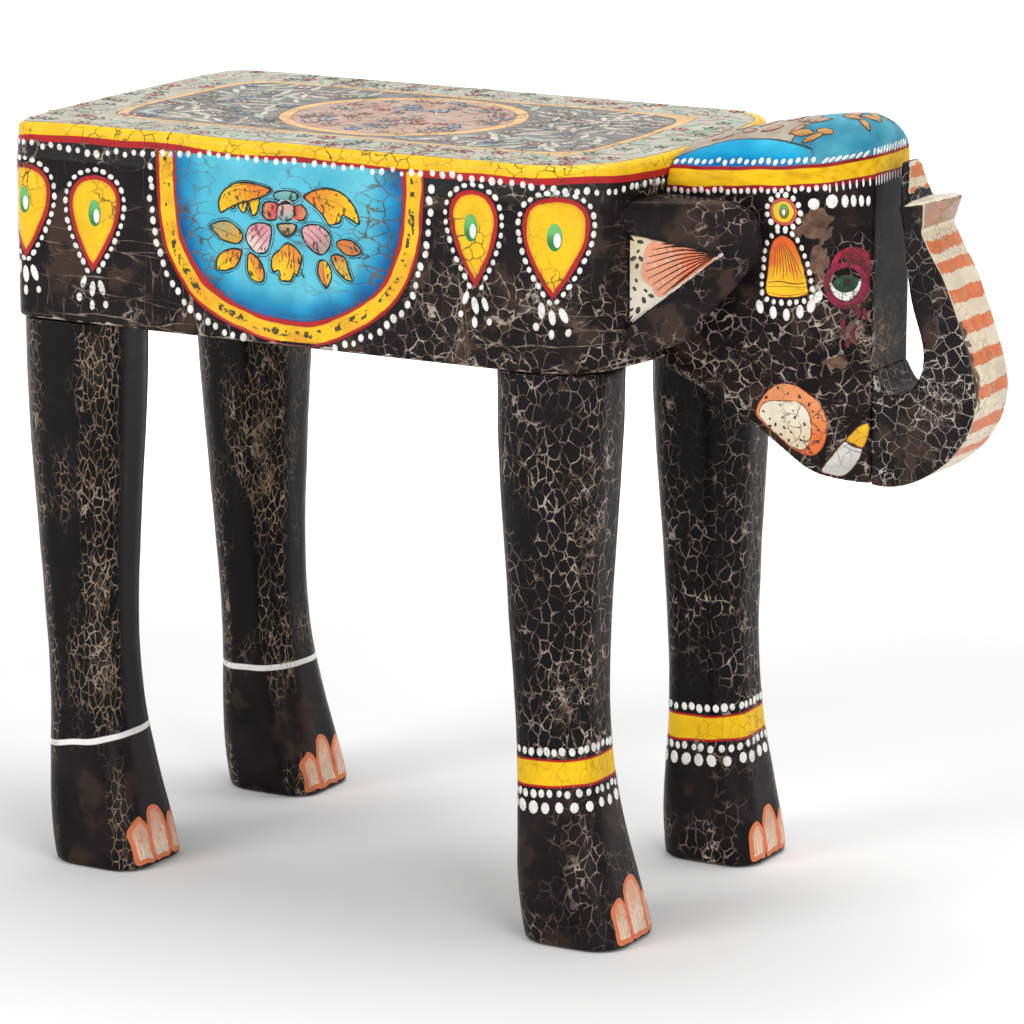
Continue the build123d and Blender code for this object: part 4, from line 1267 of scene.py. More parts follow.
spots = points_of(head.data)
ahead = spots[:, 0] - MIDDLE
wobble = waves(spots, 0.05)
bare = np.zeros(len(spots))
for x, z, wide, tall in BARE:
    patch = worn_spot(ahead, spots[:, 2], x, z, wide, tall, 1.6)
    bare = np.maximum(bare, np.where(np.abs(spots[:, 1]) > 24.0, patch, 0.0))
store(head.data, "rise", spots[:, 2] - band_height(ahead) + wobble * 0.9)
store(head.data, "bare", bare)
store(head.data, "crown", np.interp(ahead, CROWN_ALONG, CROWN_HALF) - np.abs(spots[:, 1]) + wobble)
store(head.data, "brow", ahead - 262.0 + 3.0 * np.sin(spots[:, 1] * 0.15) + wobble)
print("band rises from", BAND_RISE[0], "to", BAND_RISE[-1], "mm")

# %% Head paint
paint = Finish("head_paint")
rise = paint.read("rise")
x, _, z = paint.parts(paint.place())
ahead = x * 1000.0 - MIDDLE
rising = rise + paint.mottle(40.0, -2.0, 2.0, 2.0)
cyan = paint.blend(rising.span(5.0, 13.0), (0.002, 0.14, 0.40), (0.010, 0.33, 0.58))
# painted highlight: the cap's blue turns paler over its front and upper part
cyan = paint.blend(ahead.span(226.0, 246.0) * rising.span(10.0, 18.0), cyan, (0.05, 0.46, 0.66))
steel = paint.blend(paint.mottle(60.0), (0.035, 0.24, 0.37), (0.09, 0.36, 0.45))
blue = paint.blend(ahead.span(262.0, 280.0), cyan, steel)
beige = paint.blend(paint.mottle(90.0), (0.32, 0.24, 0.18), (0.47, 0.42, 0.34))
brow = paint.read("brow") + paint.mottle(50.0, -1.5, 1.5, 2.0)
on_top = paint.bands(brow, beige, [(-0.8, (0.12, 0.06, 0.04)), (0.3, steel)], 0.3)
crown = paint.read("crown") + paint.mottle(50.0, -1.0, 1.0, 2.0)
dark_blue = paint.blend(ahead.span(270.0, 280.0), (0.04, 0.06, 0.08), steel)
cap = paint.bands(crown, blue, [(-0.5, dark_blue), (0.6, on_top)], 0.25)
yellow = paint.blend(paint.mottle(300.0, -0.5, 0.9, 2.0, (0.25, 1.0, 1.0)), YELLOW, (0.66, 0.35, 0.01))
edge_red = paint.blend(paint.mottle(70.0), (0.42, 0.02, 0.03), (0.16, 0.010, 0.016))
cap_bands = [(-7.2, edge_red), (-4.6, yellow), (3.9, edge_red), (5.9, cap)]
colour = paint.bands(rise, paint.worn_black(0.6), cap_bands, 0.3)
worn = paint.read("bare") + paint.mottle(130.0, -0.75, 0.55, 4.0)
brown = paint.blend(paint.mottle(200.0), (0.075, 0.040, 0.028), (0.20, 0.12, 0.085))
colour = paint.blend(worn.span(0.52, 0.72), colour, brown)
net = paint.net(7.0, 0.40, z.span(0.385, 0.335, 0.30, 0.41), 0.3)
above = rise.span(-7.0, -6.0)
mask = net["Mask"] * above.line(0.0, 1.0, 1.0, 0.45)
wood = paint.blend(above, paint.tan_wood(), UNDERCOAT)
head.data.materials.append(paint.painted(colour, net, wood, shine=0.04, mask=mask))

# %% [markdown]
# ## Face ornaments
# On each cheek hangs a bell with a rosette above it. The eye is a dark almond over a white crescent
# in a rose ring, the cheek has a speckled disc, and a short tusk is painted beside the mouth.

# %% Outlines on the face
BELL = [
    (252, 358.4), (250.5, 361.9), (251.4, 370.1), (252.2, 379.2), (253.4, 385.4), (256, 389.6),
    (259.4, 391.4), (264, 390.4), (267.6, 386.8), (270.6, 380.6), (273.4, 372.6), (275, 365),
    (274.9, 360.6), (266.9, 358.4), (259, 357.6),
]
ALMOND = [
    (286.6, 366.6), (289.4, 370.2), (293, 371), (297, 368.4), (296, 363.6), (292.6, 361.4),
    (288.9, 362.6),
]
CRESCENT = [
    (285.6, 367.4), (286.4, 362.6), (289, 358.4), (292.4, 357), (295.4, 359), (297.6, 363.6),
    (298, 368.8), (295, 364.2), (291.4, 361.8), (288, 363.4),
]
EYE_RING = [
    (290, 377), (285.6, 372.6), (284.4, 366), (286.4, 358.8), (291, 354.6), (296.2, 356.6),
    (299.4, 362.6), (299.6, 369.4), (297, 374.4), (293.4, 376.6), (289.6, 376), (290, 377),
]
EYE_LOOP = [
    (286.6, 376), (289.4, 381.6), (294, 384.2), (298.6, 382.4), (301.4, 376.6), (301, 370), (299.6, 366),
]
DISC = [
    (245.1, 292.9), (247.7, 300.5), (254.3, 308.3), (262.2, 311.3), (271.5, 309.7), (280, 304.1),
    (284.4, 296.2), (285.4, 287.6), (284.2, 279.1), (280.6, 273.6), (275.8, 272.9), (266.7, 276.2),
    (257.3, 282.6), (249.9, 287.9),
]
DISC_CREAM = [
    (247, 292.5), (250.4, 299.8), (262.3, 301.8), (271.7, 301.5), (276.7, 296.1), (278.2, 287.7),
    (276.9, 279.6), (272.7, 275.4), (265.3, 277.8), (256.6, 283.8), (250.4, 288.6),
]
TUSK = [
    (282.9, 264.6), (287.2, 272.8), (292.3, 280), (296, 277.6), (299.7, 275.3), (297.1, 267.1),
    (292.2, 261.2), (287.6, 262.2),
]
TUSK_TIP = [
    (293, 280.8), (295.4, 285), (298.2, 288.1), (302, 289.6), (302, 282.7), (299.9, 276), (296.1, 278.2),
]
DRIPS = [
    [(295.6, 354), (297.4, 350), (297, 346.6)], [(292, 349), (291, 344), (292.4, 340.4)],
    [(296.4, 343.6), (295, 339), (296.2, 334)], [(299.6, 352.6), (300.2, 346)],
    [(293.4, 336.6), (293, 331.4)],
]

# %% Bells, eyes, discs and tusks
ROSE, EYE_BLACK = (0.25, 0.008, 0.045), (0.008, 0.02, 0.015)
FACE_PATCHES = [  # outline, first and second colour, and lift
    (smooth_line(BELL, 60), YELLOW, (0.76, 0.12, 0.02), 0.22),
    (oval(260.4, 404.2, 16.4, 15.2, 28), (0.62, 0.10, 0.08), None, 0.22),
    (oval(260.4, 404.2, 13.2, 12.2, 24), YELLOW, (0.70, 0.52, 0.05), 0.34),
    (oval(260.8, 404.4, 5.8, 8.0, 18), GREEN, (0.10, 0.40, 0.10), 0.46),
    (oval(260.8, 404.2, 2.6, 4.6, 14), WHITE, None, 0.58),
    (smooth_line(DISC, 56), ORANGE, (0.80, 0.30, 0.12), 0.2),
    (smooth_line(DISC_CREAM, 52), CREAM, (0.78, 0.70, 0.56), 0.32),
    (smooth_line(TUSK, 40), (0.52, 0.50, 0.47), (0.70, 0.67, 0.62), 0.22),
    (smooth_line(TUSK_TIP, 36), (0.84, 0.42, 0.015), YELLOW, 0.24),
]
EYE_PATCHES = [
    (smooth_line(CRESCENT, 40), WHITE, None, 0.22),
    (smooth_line(ALMOND, 32), (0.012, 0.05, 0.03), (0.02, 0.10, 0.06), 0.34),
    (oval(292.6, 366.6, 3.6, 4.6, 14), EYE_BLACK, None, 0.44),
    (smooth_line(EYE_LOOP[1:-1], 30), (0.12, 0.006, 0.025), (0.24, 0.010, 0.04), 0.14),
]
EYE_STROKES = [  # path, width, first and second colour, lift, taper and steps
    (EYE_RING, 4.0, ROSE, (0.33, 0.015, 0.07), 0.26, 0.8, 60),
    ([(x + 0.6, z - 0.9) for x, z in EYE_RING[2:9]], 3.0, (0.16, 0.008, 0.03), ROSE, 0.24, 0.35, 40),
    (EYE_LOOP, 4.4, (0.38, 0.010, 0.04), (0.20, 0.008, 0.03), 0.26, 0.35, 36),
    (EYE_LOOP[1:5], 3.4, (0.30, 0.008, 0.035), (0.42, 0.012, 0.045), 0.34, 0.35, 26),
    *((path, 2.4, (0.13, 0.006, 0.025), (0.22, 0.012, 0.04), 0.2, 0.1, None) for path in DRIPS),
]
FACE_LINES = [
    ([(251.6, 365.2), (259.0, 366.4), (267.0, 365.8), (274.6, 367.0)], 1.3, (0.10, 0.02, 0.01), None, 0.44),
    ([(251.2, 362.8), (262.0, 364.0), (274.8, 364.4)], 0.9, (0.30, 0.06, 0.01), None, 0.40),
    ([(251.0, 359.8), (262.0, 359.0), (274.6, 361.6)], 1.1, (0.50, 0.05, 0.02), None, 0.38),
    ([(292.4, 280.4), (295.8, 277.2), (300.0, 275.2)], 0.9, INK, None, 0.42),
    ([(291.2, 278.6), (295.0, 275.4), (299.2, 273.4)], 0.6, INK, None, 0.40),
    *(([*path, path[0]], 0.8, INK, None, 0.3, 0.8, 40) for path in (TUSK, TUSK_TIP)),
]
face, lines, eyes = Paint("face_ornaments"), Paint("face_lines"), Paint("eyes")
for sheet in cheeks:
    for patch in FACE_PATCHES:
        face.patch(sheet, *patch)
    for patch in EYE_PATCHES:
        eyes.patch(sheet, *patch)
    for stroke in EYE_STROKES:
        eyes.stroke(sheet, *stroke)
    for i, (a, b) in enumerate(zip(np.linspace(254.6, 271.6, 9), np.linspace(255.8, 264.6, 9))):
        fold = [(a, 368.0 + 1.6 * (i % 3)), ((a + b) / 2 + 0.5, 377.0), (b, 387.6 - 0.16 * (b - 260) ** 2)]
        lines.stroke(sheet, fold, 1.0, (0.13, 0.03, 0.01), lift=0.44, taper=0.15)
    for stroke in FACE_LINES:
        lines.stroke(sheet, *stroke)
face.make(enamel("face_enamel", 0.4, (0.25, 0.04, 0.01), 7.0, 0.32))
lines.make(plain_enamel)
eyes.make(enamel("eye_enamel", 0.0, size=6.0, lost=0.42))

# %% Dots on the face
SPECKS = [
    (258.3, 308.3), (264.3, 305.6), (271.3, 304.8), (276.7, 301), (278.6, 297.1), (281.2, 293.8),
    (281.4, 287.1), (251.4, 302.4), (260, 299.1), (267.7, 296.7), (253.8, 290.8), (261.4, 292.4),
    (265.2, 290.1), (253.9, 287), (271.2, 287.7), (260.6, 283), (265.3, 280.2), (270.4, 277.8),
    (276.8, 276.9), (281, 281), (274.4, 290), (257.2, 288.1), (249.8, 294.6), (266.6, 284.8),
    (274.2, 283), (262.4, 287), (268.8, 293.2), (272.4, 281.2),
]
SINGLE_DOTS = [  # place, width, height, turn and thickness
    (246.8, 351.5, 4.4, 7.4, 8, 2.4), (254.9, 349.1, 4.4, 7.4, 0, 2.4), (262.8, 348.6, 4.4, 7.4, 0, 2.4),
    (270.8, 351, 4.4, 7.4, -6, 2.4), (277, 354.6, 4.4, 7.4, -16, 2.4), (280.6, 359.6, 4.4, 7.4, -24, 2.4),
    (277.6, 409.6, 6.4, 6.6, 0, 2), (286, 411, 7, 8, 0, 2), (291.2, 410.8, 3.9, 7, 0, 2),
    (294.6, 410.8, 3.1, 6.4, 0, 2), (297.8, 410.6, 2.9, 6.4, 0, 2), (300.6, 410.4, 2.7, 6.2, 0, 2),
    (303, 410.6, 2.4, 6.4, 0, 2),
]
BAND_ROWS = [  # from, to, pitch, height over the band, width, height, turn, loose turn and thickness
    (188.0, 280.0, 4.4, 8.0, 2.9, 3.9, -16, 10, None),
    (282, 303, 2.9, 7.2, 1.7, 5, -42, 0, 1.4), (191, 284, 4, -7.2, 2.7, 3.6, 0, 14, 1.8),
    (285, 303, 2.7, -8, 1.4, 5.4, 6, 0, 1.3),
]
ROSETTE_DOTS = 13
specks, face_dots = Spots(), Spots()
bell_side = widened(smooth_line(BELL, 90), 2.7)
rng = np.random.default_rng(5)
for sheet in cheeks:
    for x, z in SPECKS:
        specks.add(sheet, x, z, 1.5, 2.3, rng.uniform(-70, 70), high=2.6)
    for angle in (math.tau * i / ROSETTE_DOTS for i in range(ROSETTE_DOTS)):
        x, z = 260.4 + 9.9 * math.cos(angle), 404.2 + 9.2 * math.sin(angle)
        face_dots.add(sheet, x, z, 3.3, 3.7, rng.uniform(-40, 40))
    for a, b, _ in march(bell_side, 4.6, closed=True):
        if b > 352.0:
            face_dots.add(sheet, a + rng.normal(0, 0.3), b, 2.8, 3.5, rng.normal(0, 15))
    for x, z, wide, tall, turn, high in SINGLE_DOTS:
        face_dots.add(sheet, x, z, wide, tall, turn, high=high)
    for start, stop, pitch, over, wide, tall, turn, loose, high in BAND_ROWS:
        for x in np.arange(start, stop, pitch):
            shift, lean = (rng.normal(0, 0.4), rng.normal(0, loose)) if loose else (0.0, 0.0)
            face_dots.add(sheet, x, band_height(x) + over + shift, wide, tall, turn + lean, high=high)
front = Sheet(head_skin, (1, 0, 0), (0, 1, 0), reach=0.5)
for y in np.arange(-20.0, 20.5, 3.4):
    face_dots.add(front, y, 436.4, 1.7, 5.0, -34, high=1.4)
    face_dots.add(front, y, 420.8, 1.4, 5.4, 0, high=1.3)
paint = Finish("dark_speck_paint")
tone = paint.blend(paint.mottle(300.0), INK, (0.05, 0.03, 0.02))
dark_speck = paint.plain(tone, paint.mottle(200.0, 0.3, 0.5))
specks.make("cheek_specks", "dot", dark_speck, 0.25, 9, 0.4)
face_dots.make("face_dots", "dot", white_paint, 0.10, 6)

# %% [markdown]
# ## Cap leaves
# Small orange-brown leaves with dark outlines are scattered over the top of the cap.

# %% Leaves on the cap
CAP_LEAVES = [  # along, across, length, width, turn and which tints
    (262, -26, 15, 6.4, -8, 0), (270, -30.5, 12, 5.2, 30, 0), (257, -22, 11, 5, 60, 1),
    (275, -25.5, 12, 5.6, -14, 0), (266, -13, 14, 6.6, 10, 1), (255, -10.5, 10, 5.2, -30, 1),
    (283, -8.5, 15, 6.2, -20, 0), (291, -3, 12, 5.6, 35, 0), (292, -12.5, 11, 5.2, -35, 0),
    (240, -18, 13, 6, 15, 1), (225, -15, 12, 5.6, -25, 1), (210, -18, 12, 5.4, 20, 1),
    (247, -4, 10, 9, 0, 2), (216, -3, 10, 9, 0, 2), (232, -6.5, 12, 5.4, 60, 0),
    (200, -8, 11, 5.4, 50, 0), (281, 3, 10, 8.6, 0, 2),
]
LEAF_TINTS = [
    ((0.52, 0.22, 0.06), (0.62, 0.34, 0.10)), ((0.46, 0.20, 0.14), (0.55, 0.33, 0.22)),
    ((0.50, 0.14, 0.12), (0.60, 0.40, 0.30)),
]
cap_sheet = Sheet(head_skin, UP, (1, 0, 0), (0, 1, 0), reach=0.6)
cap_leaves = Paint("cap_leaves")
for a, b, long, wide, turn, kind in CAP_LEAVES:
    for mirror in (1, -1):
        outline = oval(a, b * mirror, long, wide, 26, turn * mirror, point=0.35)
        cap_leaves.patch(cap_sheet, outline, *LEAF_TINTS[kind], lift=0.24)
cap_leaves.make(enamel("leaf_enamel", 0.6, (0.05, 0.025, 0.015), 7.0, 0.36, 0.4))

# %% [markdown]
# ## Ears
# Each ear is a black leaf with a hollow painted cream. An orange fan spreads from the front corner,
# with fine black rays, and black specks dot the cream. Pale strokes on the hollow's lower ridge are a
# painted highlight.

# %% Lines on the ear
EAR_HOLLOW = [(135.9, 391.4), (189.0, 380.6), (135.9, 339.9)]
EAR_APEX = (186.6, 380.9)
EAR_FAN = [
    (186.6, 380.8), (180, 382), (170, 384), (160, 386), (152.4, 387.4), (148.2, 384.4), (146.6, 379.6),
    (145.4, 374), (144.9, 369), (147.4, 364.8), (150.6, 362.2), (152.6, 358.4), (156.2, 356.9),
    (163.5, 362.4), (171.6, 368.6), (179.4, 374.7),
]
RAY_ENDS = [
    (156, 385.8), (151, 382.6), (148.8, 378.6), (147.6, 374.6), (147.4, 370.6), (148.6, 366.8),
    (151, 363.6), (153.4, 360.4), (156.6, 358.2), (161.5, 361.6),
]
EAR_SPECKS = [
    (144.4, 386.6), (143.3, 381.5), (140.7, 377.5), (138.3, 373.6), (137.9, 367.2), (142.7, 373.4),
    (142.4, 365.6), (141.4, 361.1), (139.1, 355.6), (146.5, 354.9), (139.8, 349.6), (147.4, 360.2),
    (150.4, 357.4), (138.4, 382.4), (143.4, 349.4), (144.8, 377.4), (138.6, 345.4),
]
# pale strokes along the hollow's lower ridge and at its tip: a painted highlight on the ridge crest
EAR_RIDGE_HIGHLIGHTS = [
    ([(137, 340.6), (155.5, 355.3), (179, 373.4)], 1, (0.72, 0.68, 0.60), 0.3), ([(183, 377.6),
    (189, 381.4)], 2.4, (0.70, 0.60, 0.48), 0.6),
]

# %% Ear paint
paint = Finish("ear_paint")
net = paint.net(7.0, 0.36, 0.30, 0.7)
ear_paint = paint.painted(paint.worn_black(0.9), net, paint.tan_wood(), shine=0.07)
ear_fills, ear_fans, ear_rays = Paint("ear_hollows"), Paint("ear_fans"), Paint("ear_rays")
ear_specks = Spots()
for side, mirror in (("right", 1), ("left", -1)):
    sheet = Sheet(skin_of(ears[side]), (0.4, -0.917 * mirror, 0), (0.917, 0.4 * mirror, 0), reach=0.3)
    hollow, fan = sharp_line(EAR_HOLLOW), smooth_line(EAR_FAN, 60)
    ear_fills.patch(sheet, hollow, (0.74, 0.68, 0.56), CREAM, 0.12, centre=(152.0, 370.0))
    ear_fans.patch(sheet, fan, (0.80, 0.36, 0.22), (0.78, 0.13, 0.03), 0.34, lean=0.0)
    for i, (a, b) in enumerate(RAY_ENDS):
        middle = ((a + EAR_APEX[0]) / 2, (b + EAR_APEX[1]) / 2 + 3.4 - 0.25 * i)
        ear_rays.stroke(sheet, [EAR_APEX, middle, (a, b)], 2.0, INK, lift=0.58, taper=0.2)
    # the pale ridge strokes are a painted highlight
    for path, width, tint, lift in EAR_RIDGE_HIGHLIGHTS:
        ear_rays.stroke(sheet, path, width, tint, lift=lift)
    for a, b in EAR_SPECKS:
        ear_specks.add(sheet, a, b, 2.1, 3.4, rng.uniform(-80, 80), high=2.6)
    ears[side].data.materials.append(ear_paint)
ear_fills.make(enamel("ear_enamel", 0.5, (0.20, 0.12, 0.07), 6.0, 0.28))
ear_fans.make(enamel("ear_fan_enamel", 0.0, (0.74, 0.62, 0.48), 6.0, 0.26, 0.5))
ear_rays.make(plain_enamel)
ear_specks.make("ear_specks", "dot", dark_speck, 0.3, 12, 0.5)

# %% [markdown]
# ## Trunk
# The front of the trunk is cream with orange stripes, and its sides are black. Each point stores
# whether it faces forwards, and how far it lies from the nearest stripe, and the paint reads both.

# %% Where the stripes are
STRIPES = np.array([424.6, 412.6, 387.4, 376.3, 361.4, 345.5, 328.6, 311.0, 292.6, 277.0])
HALF = np.array([3.6, 3.6, 3.2, 3.0, 3.8, 3.7, 3.7, 3.6, 4.0, 3.0])
SIDE_STRIP, FADE = 1.4, 3.0
LIP_LOW, LIP_HIGH, LIP_FROM = 397.0, 417.0, 321.0
spots = points_of(trunk.data)
across, height = spots[:, 1], spots[:, 2]
trunk_skin = skin_of(trunk)
level = height + waves(spots, 0.07) * 1.3
store(trunk.data, "stripe", (np.abs(level[:, None] - STRIPES) - HALF).min(axis=1))
near = KDTree(len(spots))
for i, (x, y, z) in enumerate(spots):
    near.insert((x, 0.0, z), i)
near.balance()
half_width = [max(abs(spots[j, 1]) for _, j, _ in near.find_range((x, 0.0, z), 2.4)) for x, y, z in spots]
in_front = []
for vertex in trunk.data.vertices:
    normal = vertex.normal
    clear = trunk_skin.ray_cast(vertex.co + normal * 0.0008, Vector((1.0, 0.0, -0.12)))[0] is None
    ahead = Vector((normal.x, 0.0, normal.z)).normalized().x > 0.12
    in_front.append(clear and (ahead or abs(normal.y) > 0.75))
inward = np.clip(np.array(half_width) - np.abs(across) - SIDE_STRIP, -FADE, FADE)
store(trunk.data, "front", np.where(in_front, inward, -FADE))
store(trunk.data, "worn", np.clip(worn_spot(height, across, 322.0, -20.5, 34.0, 5.5, 1.5), 0.0, 1.5))
store(trunk.data, "lip", (height > LIP_LOW) & (height < LIP_HIGH) & (spots[:, 0] - MIDDLE > LIP_FROM))
print("front points:", sum(in_front), "of", len(spots))

# %% Trunk paint
paint = Finish("trunk_paint")
stripe = paint.read("stripe") + paint.mottle(350.0, -0.7, 0.7)
cream = paint.blend(paint.mottle(80.0), (0.80, 0.68, 0.50), (0.68, 0.58, 0.44))
orange = paint.blend(paint.mottle(160.0), (0.72, 0.15, 0.045), (0.62, 0.25, 0.12))
colour = paint.blend(stripe.span(-0.3, 0.3), orange, cream)
pink = paint.blend(paint.mottle(150.0), (0.52, 0.26, 0.18), (0.36, 0.30, 0.22))
buff = paint.blend(paint.mottle(220.0, detail=4.0), (0.14, 0.10, 0.07), (0.56, 0.46, 0.36))
lip, front, up = paint.read("lip"), paint.read("front"), paint.facing()[2]
colour = paint.blend(lip, colour, paint.blend(up.span(0.35, 0.6), pink, buff))
colour = paint.blend(front.span(0.9, 0.3), colour, (0.70, 0.64, 0.50))
worn = paint.read("worn") + paint.mottle(170.0, -0.8, 0.5, 4.0)
streaks = paint.mottle(380.0, detail=2.0, stretch=(1.0, 1.0, 0.4))
brown = paint.blend(streaks, (0.02, 0.014, 0.012), (0.24, 0.15, 0.10))
colour = paint.blend(worn.span(0.55, 0.75), colour, brown)
forward = front.span(-0.35, 0.05).at_least(lip * up.span(0.5, 0.7))
colour = paint.blend(forward, paint.worn_black(), colour)
net = paint.net(7.0, 0.32, 0.375, 0.25)
mask = net["Mask"] * forward.line(0.0, 1.0, 1.0, 0.5)
pale = paint.blend(paint.mottle(80.0), (0.34, 0.28, 0.24), (0.62, 0.58, 0.54))
wood = paint.blend(forward, pale, (0.16, 0.09, 0.05))
trunk.data.materials.append(paint.painted(colour, net, wood, shine=0.08, mask=mask))

# %% [markdown]
# ## Feet
# The anklets have rows of dots above and below, and each foot has three painted toenails,
# cream with an orange rim.

# %% Anklet dots
leg_skins = {corner: skin_of(piece) for corner, piece in legs.items()}


class Round:
    """A drawing wrapped round a leg: degrees from straight ahead, and height above the leg's band."""

    def __init__(self, corner):
        self.skin, self.middle = leg_skins[corner], leg_axis(corner)
        self.level, self.forward, self.side = ANKLETS[corner]

    def at(self, turn, height):
        """Where a point lands on the leg, at a height above the band's middle."""
        angle = math.radians(turn)
        out = Vector((math.cos(angle), math.sin(angle), 0.0))
        start = Vector((*self.middle, self.level + height)) * MM
        for attempt in range(2):
            place, normal = self.skin.ray_cast(start + out * 0.08, -out)[:2]
            if place is None:
                return None
            x, y = place.x / MM - self.middle[0], place.y / MM - self.middle[1]
            start.z = (self.level + height + x * self.forward + y * self.side) * MM
        return place, normal, Vector((-out.y, out.x, 0.0))


anklet_dots = Spots()
rng = np.random.default_rng(21)
for corner in ("front_right", "front_left"):
    sheet = Round(corner)
    for height, count, wide, tall in ((11.4, 33, 3.8, 5.0), (-11.8, 31, 3.7, 4.8), (-19.2, 21, 5.5, 7.0)):
        for i in range(count):
            turn, level = 360.0 * i / count + rng.normal(0, 1.0), height + rng.normal(0, 0.4)
            anklet_dots.add(sheet, turn, level, wide, tall, rng.normal(0, 12), high=2.2)
anklet_dots.make("anklet_dots", "dot", white_paint, 0.15, 8)

# %% Toenails
NAIL = [
    (-7.4, 3.4), (-8, 12), (-7.4, 20), (-4.2, 25.2), (0, 27), (4.2, 25.2), (7.4, 20), (8, 12), (7.4, 3.4),
    (0, 3),
]
NAIL_FOOT, NAIL_STRETCH = 3.0, 1.12
TOES = {  # for each foot: how far each nail lies from the foot's middle, and its size
    "front_right": [(-11.5, 0.92), (4.5, 1.24), (19.0, 0.85)],
    "front_left": [(-15.0, 0.85), (0.0, 1.08), (15.0, 0.85)],
    "rear_right": [(-15.0, 1.0), (1.0, 1.16), (17.0, 0.9)],
    "rear_left": [(-17.0, 0.85), (-2.0, 1.12), (14.5, 1.0)],
}
nails, nail_lines = Paint("toenails"), Paint("toenail_lines")
rng = np.random.default_rng(41)
for corner in CORNERS:
    toes = points_of(legs[corner].data)
    toes = toes[toes[:, 2] < 32.0]
    sheet = Sheet(leg_skins[corner], (1, 0, 0), (0, 1, 0), reach=0.5)
    for i, (shift, size) in enumerate(TOES[corner]):
        middle = (toes[:, 1].min() + toes[:, 1].max()) / 2 + shift
        bent = []
        for x, z in NAIL:
            x = middle + x * size + rng.normal(0, 0.5)
            bent.append((x, NAIL_FOOT + (z - NAIL_FOOT) * size * NAIL_STRETCH + rng.normal(0, 0.5)))
        lift = 0.2 + 0.12 * (i % 2)
        nails.patch(sheet, smooth_line(bent, 44), (0.80, 0.66, 0.52), (0.74, 0.40, 0.26), lift)
        for k in (-1, 0, 1):
            x = middle + k * 3.4 * size
            line = [(x, 6.0), (x * 0.98 + middle * 0.02, 13.0), (x + rng.normal(0, 0.6), 20.0 * size)]
            nail_lines.stroke(sheet, line, 0.9, (0.70, 0.26, 0.14), (0.66, 0.38, 0.26), lift=0.42)
nails.make(enamel("nail_enamel", 2.7, (0.74, 0.20, 0.08), 5.0, 0.28, 0.6))
nail_lines.make(plain_enamel)

# %% [markdown]
# ## Flowers and leaves on the seat
# The seat's border and field are filled with little flowers and leaves in pale colours. They follow
# a scattered plan with a fixed seed, thicker in the field than in the border, and lie a hair apart.

# %% Motifs on the seat
ZONES = {  # room for a motif, share of flowers, least and greatest leaf, tints of leaf, flower and heart
    "medallion": (
        8.0, 0.55, 9.0, 14.0,
        [(0.56, 0.44, 0.34), (0.30, 0.34, 0.36), (0.60, 0.34, 0.26)],
        [(0.24, 0.36, 0.50), (0.68, 0.48, 0.48), (0.60, 0.20, 0.16), (0.34, 0.42, 0.50)],
        (0.70, 0.58, 0.30),
    ),
    "field": (
        8.0, 0.22, 15.0, 23.0,
        [(0.50, 0.53, 0.42), (0.60, 0.57, 0.46), (0.40, 0.47, 0.41), (0.56, 0.47, 0.40), (0.66, 0.60, 0.52)],
        [(0.26, 0.38, 0.50), (0.66, 0.44, 0.44), (0.58, 0.52, 0.42)],
        (0.70, 0.58, 0.30),
    ),
    "border": (
        9.0, 0.35, 13.0, 20.0,
        [(0.30, 0.42, 0.31), (0.56, 0.52, 0.42), (0.40, 0.44, 0.34), (0.58, 0.40, 0.33)],
        [(0.62, 0.26, 0.22), (0.64, 0.44, 0.38), (0.30, 0.46, 0.36)],
        (0.60, 0.16, 0.08),
    ),
}
TRIES = 5200
coarse = (OUTLINE - np.array([MIDDLE, 0.0]))[::8]


def zone_at(a, b):
    """The part of the seat's pattern that a point lies in."""
    depth = gap(np.array([[a, b]]), coarse)[0]
    radius = math.hypot(a, b)
    corner = math.hypot(max(abs(a) - 118.0, 0.0), max(abs(b) - 46.0, 0.0))
    if radius < 57:
        return "medallion"
    if radius > 78 and depth > 49 and corner < 36.0:
        return "field"
    return "border" if 9 < depth < 33 else None


top_sheet = Sheet(skin_of(seat), UP, (1, 0, 0), (0, 1, 0), reach=0.6)
seat_leaves, seat_blooms, seat_cores = Spots(), Spots(), Spots()
taken = []
rng = np.random.default_rng(77)
for attempt in range(TRIES):
    a, b = rng.uniform(-HALF_LENGTH, HALF_LENGTH), rng.uniform(-FLANK, FLANK)
    zone = zone_at(a, b)
    if zone is None:
        continue
    room, share, least, most, leaf_tints, bloom_tints, heart = ZONES[zone]
    if any((a - x) ** 2 + (b - y) ** 2 < room ** 2 for x, y in taken):
        continue
    taken.append((a, b))
    turn = rng.uniform(0, 360)
    if rng.random() < share:
        size = rng.uniform(9.0, 13.0)
        tint = bloom_tints[rng.integers(len(bloom_tints))]
        seat_blooms.add(top_sheet, a, b, size, size, turn, tint, high=4.0)
        seat_cores.add(top_sheet, a, b, 3.2, 3.2, 0.0, heart, high=3.4)
    else:
        long = rng.uniform(least, most)
        tint = leaf_tints[rng.integers(len(leaf_tints))]
        seat_leaves.add(top_sheet, a, b, long, long * 0.72, turn, tint, high=4.0)
seat_leaves.make("seat_leaves", "leaf", motif_paint, 0.1, 15)
seat_blooms.make("seat_flowers", "bloom", motif_paint, 0.1, 16)
seat_cores.make("seat_flower_hearts", "dot", motif_paint, 0.1, 17)
print("motifs on the seat:", len(taken))

# %% [markdown]
# ## Floor, light and camera
# A pale floor and three large soft lamps show the paint as it is, with a soft shadow below.

# %% Floor and world


def seen_directly(recipe):
    """1 where a camera, a gloss or a glass looks, and 0 for the light that falls on the object."""
    rays = recipe.nodes("ShaderNodeLightPath")
    return rays["Is Camera Ray"].at_least(rays["Is Glossy Ray"]).at_least(rays["Is Transmission Ray"])


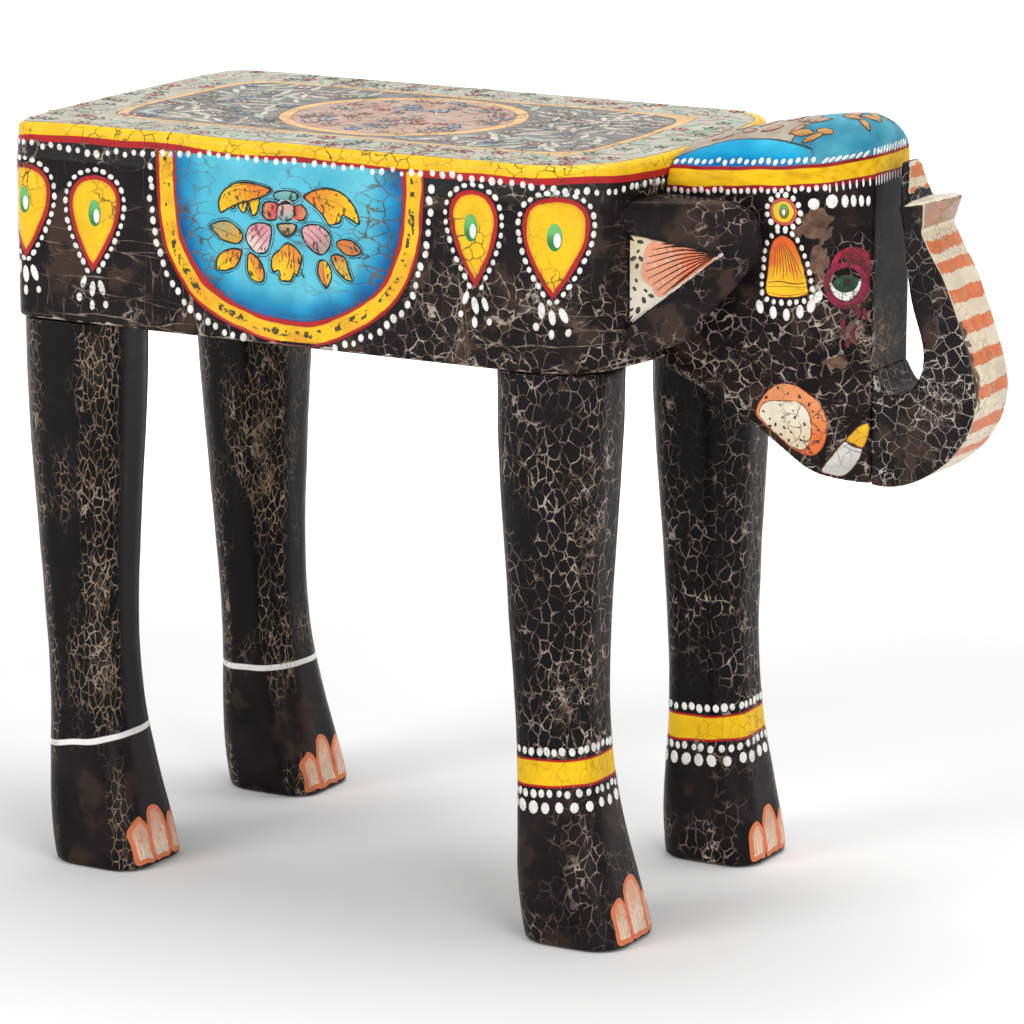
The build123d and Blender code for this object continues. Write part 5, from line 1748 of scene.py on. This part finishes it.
bpy.ops.mesh.primitive_plane_add(size=8.0, location=(0, 0, -0.0002))
floor = bpy.context.object
floor.name = "floor"
paint = Finish("white_floor")
paint.shader["Specular IOR Level"].default_value = 0.1
paint.shader["Emission Color"].default_value = (1, 1, 1, 1)
away = paint.node("ShaderNodeVectorMath", {0: paint.place()}, operation="LENGTH")
feed(paint.tree, seen_directly(paint) * away.span(0.55, 1.5), paint.shader["Emission Strength"])
floor.data.materials.append(paint.plain((0.93, 0.93, 0.93), 0.9))
SKY_ON_OBJECT = 0.42
world = bpy.data.worlds.new("studio")
bpy.context.scene.world = world
world.use_nodes = True
sky = world.node_tree.nodes["Background"].inputs
sky["Color"].default_value = (1, 1, 1, 1)
strength = seen_directly(Recipe(world.node_tree)).line(0.0, 1.0, SKY_ON_OBJECT, 1.0)
feed(world.node_tree, strength, sky["Strength"])

# %% Lamps
LAMPS = {  # place, width and power of each soft lamp, in metres and watts
    "key_lamp": ((-1.5, -2.6, 1.9), 1.5, 42.0),
    "fill_lamp": ((2.4, -1.7, 1.2), 1.4, 31.0),
    "top_lamp": ((0.2, 0.6, 2.6), 1.9, 41.0),
}
LAMP_AIM = Vector((0, 0, 0.25))


def stand(name, data, place, way):
    """Sets a lamp or camera at a place, looking along a way."""
    made = placed(name, data)
    made.location = place
    made.rotation_mode = "QUATERNION"
    made.rotation_quaternion = way.to_track_quat("-Z", "Y")
    return made


for name, (place, size, power) in LAMPS.items():
    lamp = bpy.data.lights.new(name, "AREA")
    lamp.size, lamp.energy = size, power
    stand(name, lamp, place, LAMP_AIM - Vector(place))
print("lamps:", len(LAMPS))

# %% Camera
AZIMUTH, ELEVATION, DISTANCE = math.radians(29.328), math.radians(13.025), 2.9891
FOCUS, LENS, FILM = Vector((-0.01715, 0.0, 0.2094)), 185.9, 36.0
level = math.cos(ELEVATION)
back = Vector((math.sin(AZIMUTH) * level, -math.cos(AZIMUTH) * level, math.sin(ELEVATION)))
lens = bpy.data.cameras.new("camera")
lens.lens, lens.sensor_width = LENS, FILM
bpy.context.scene.camera = stand("camera", lens, FOCUS + back * DISTANCE, -back)
bpy.context.scene.view_settings.view_transform = "Standard"

# %% Put the copied shapes away
for shape in SHAPES.values():
    bpy.data.objects.remove(shape)
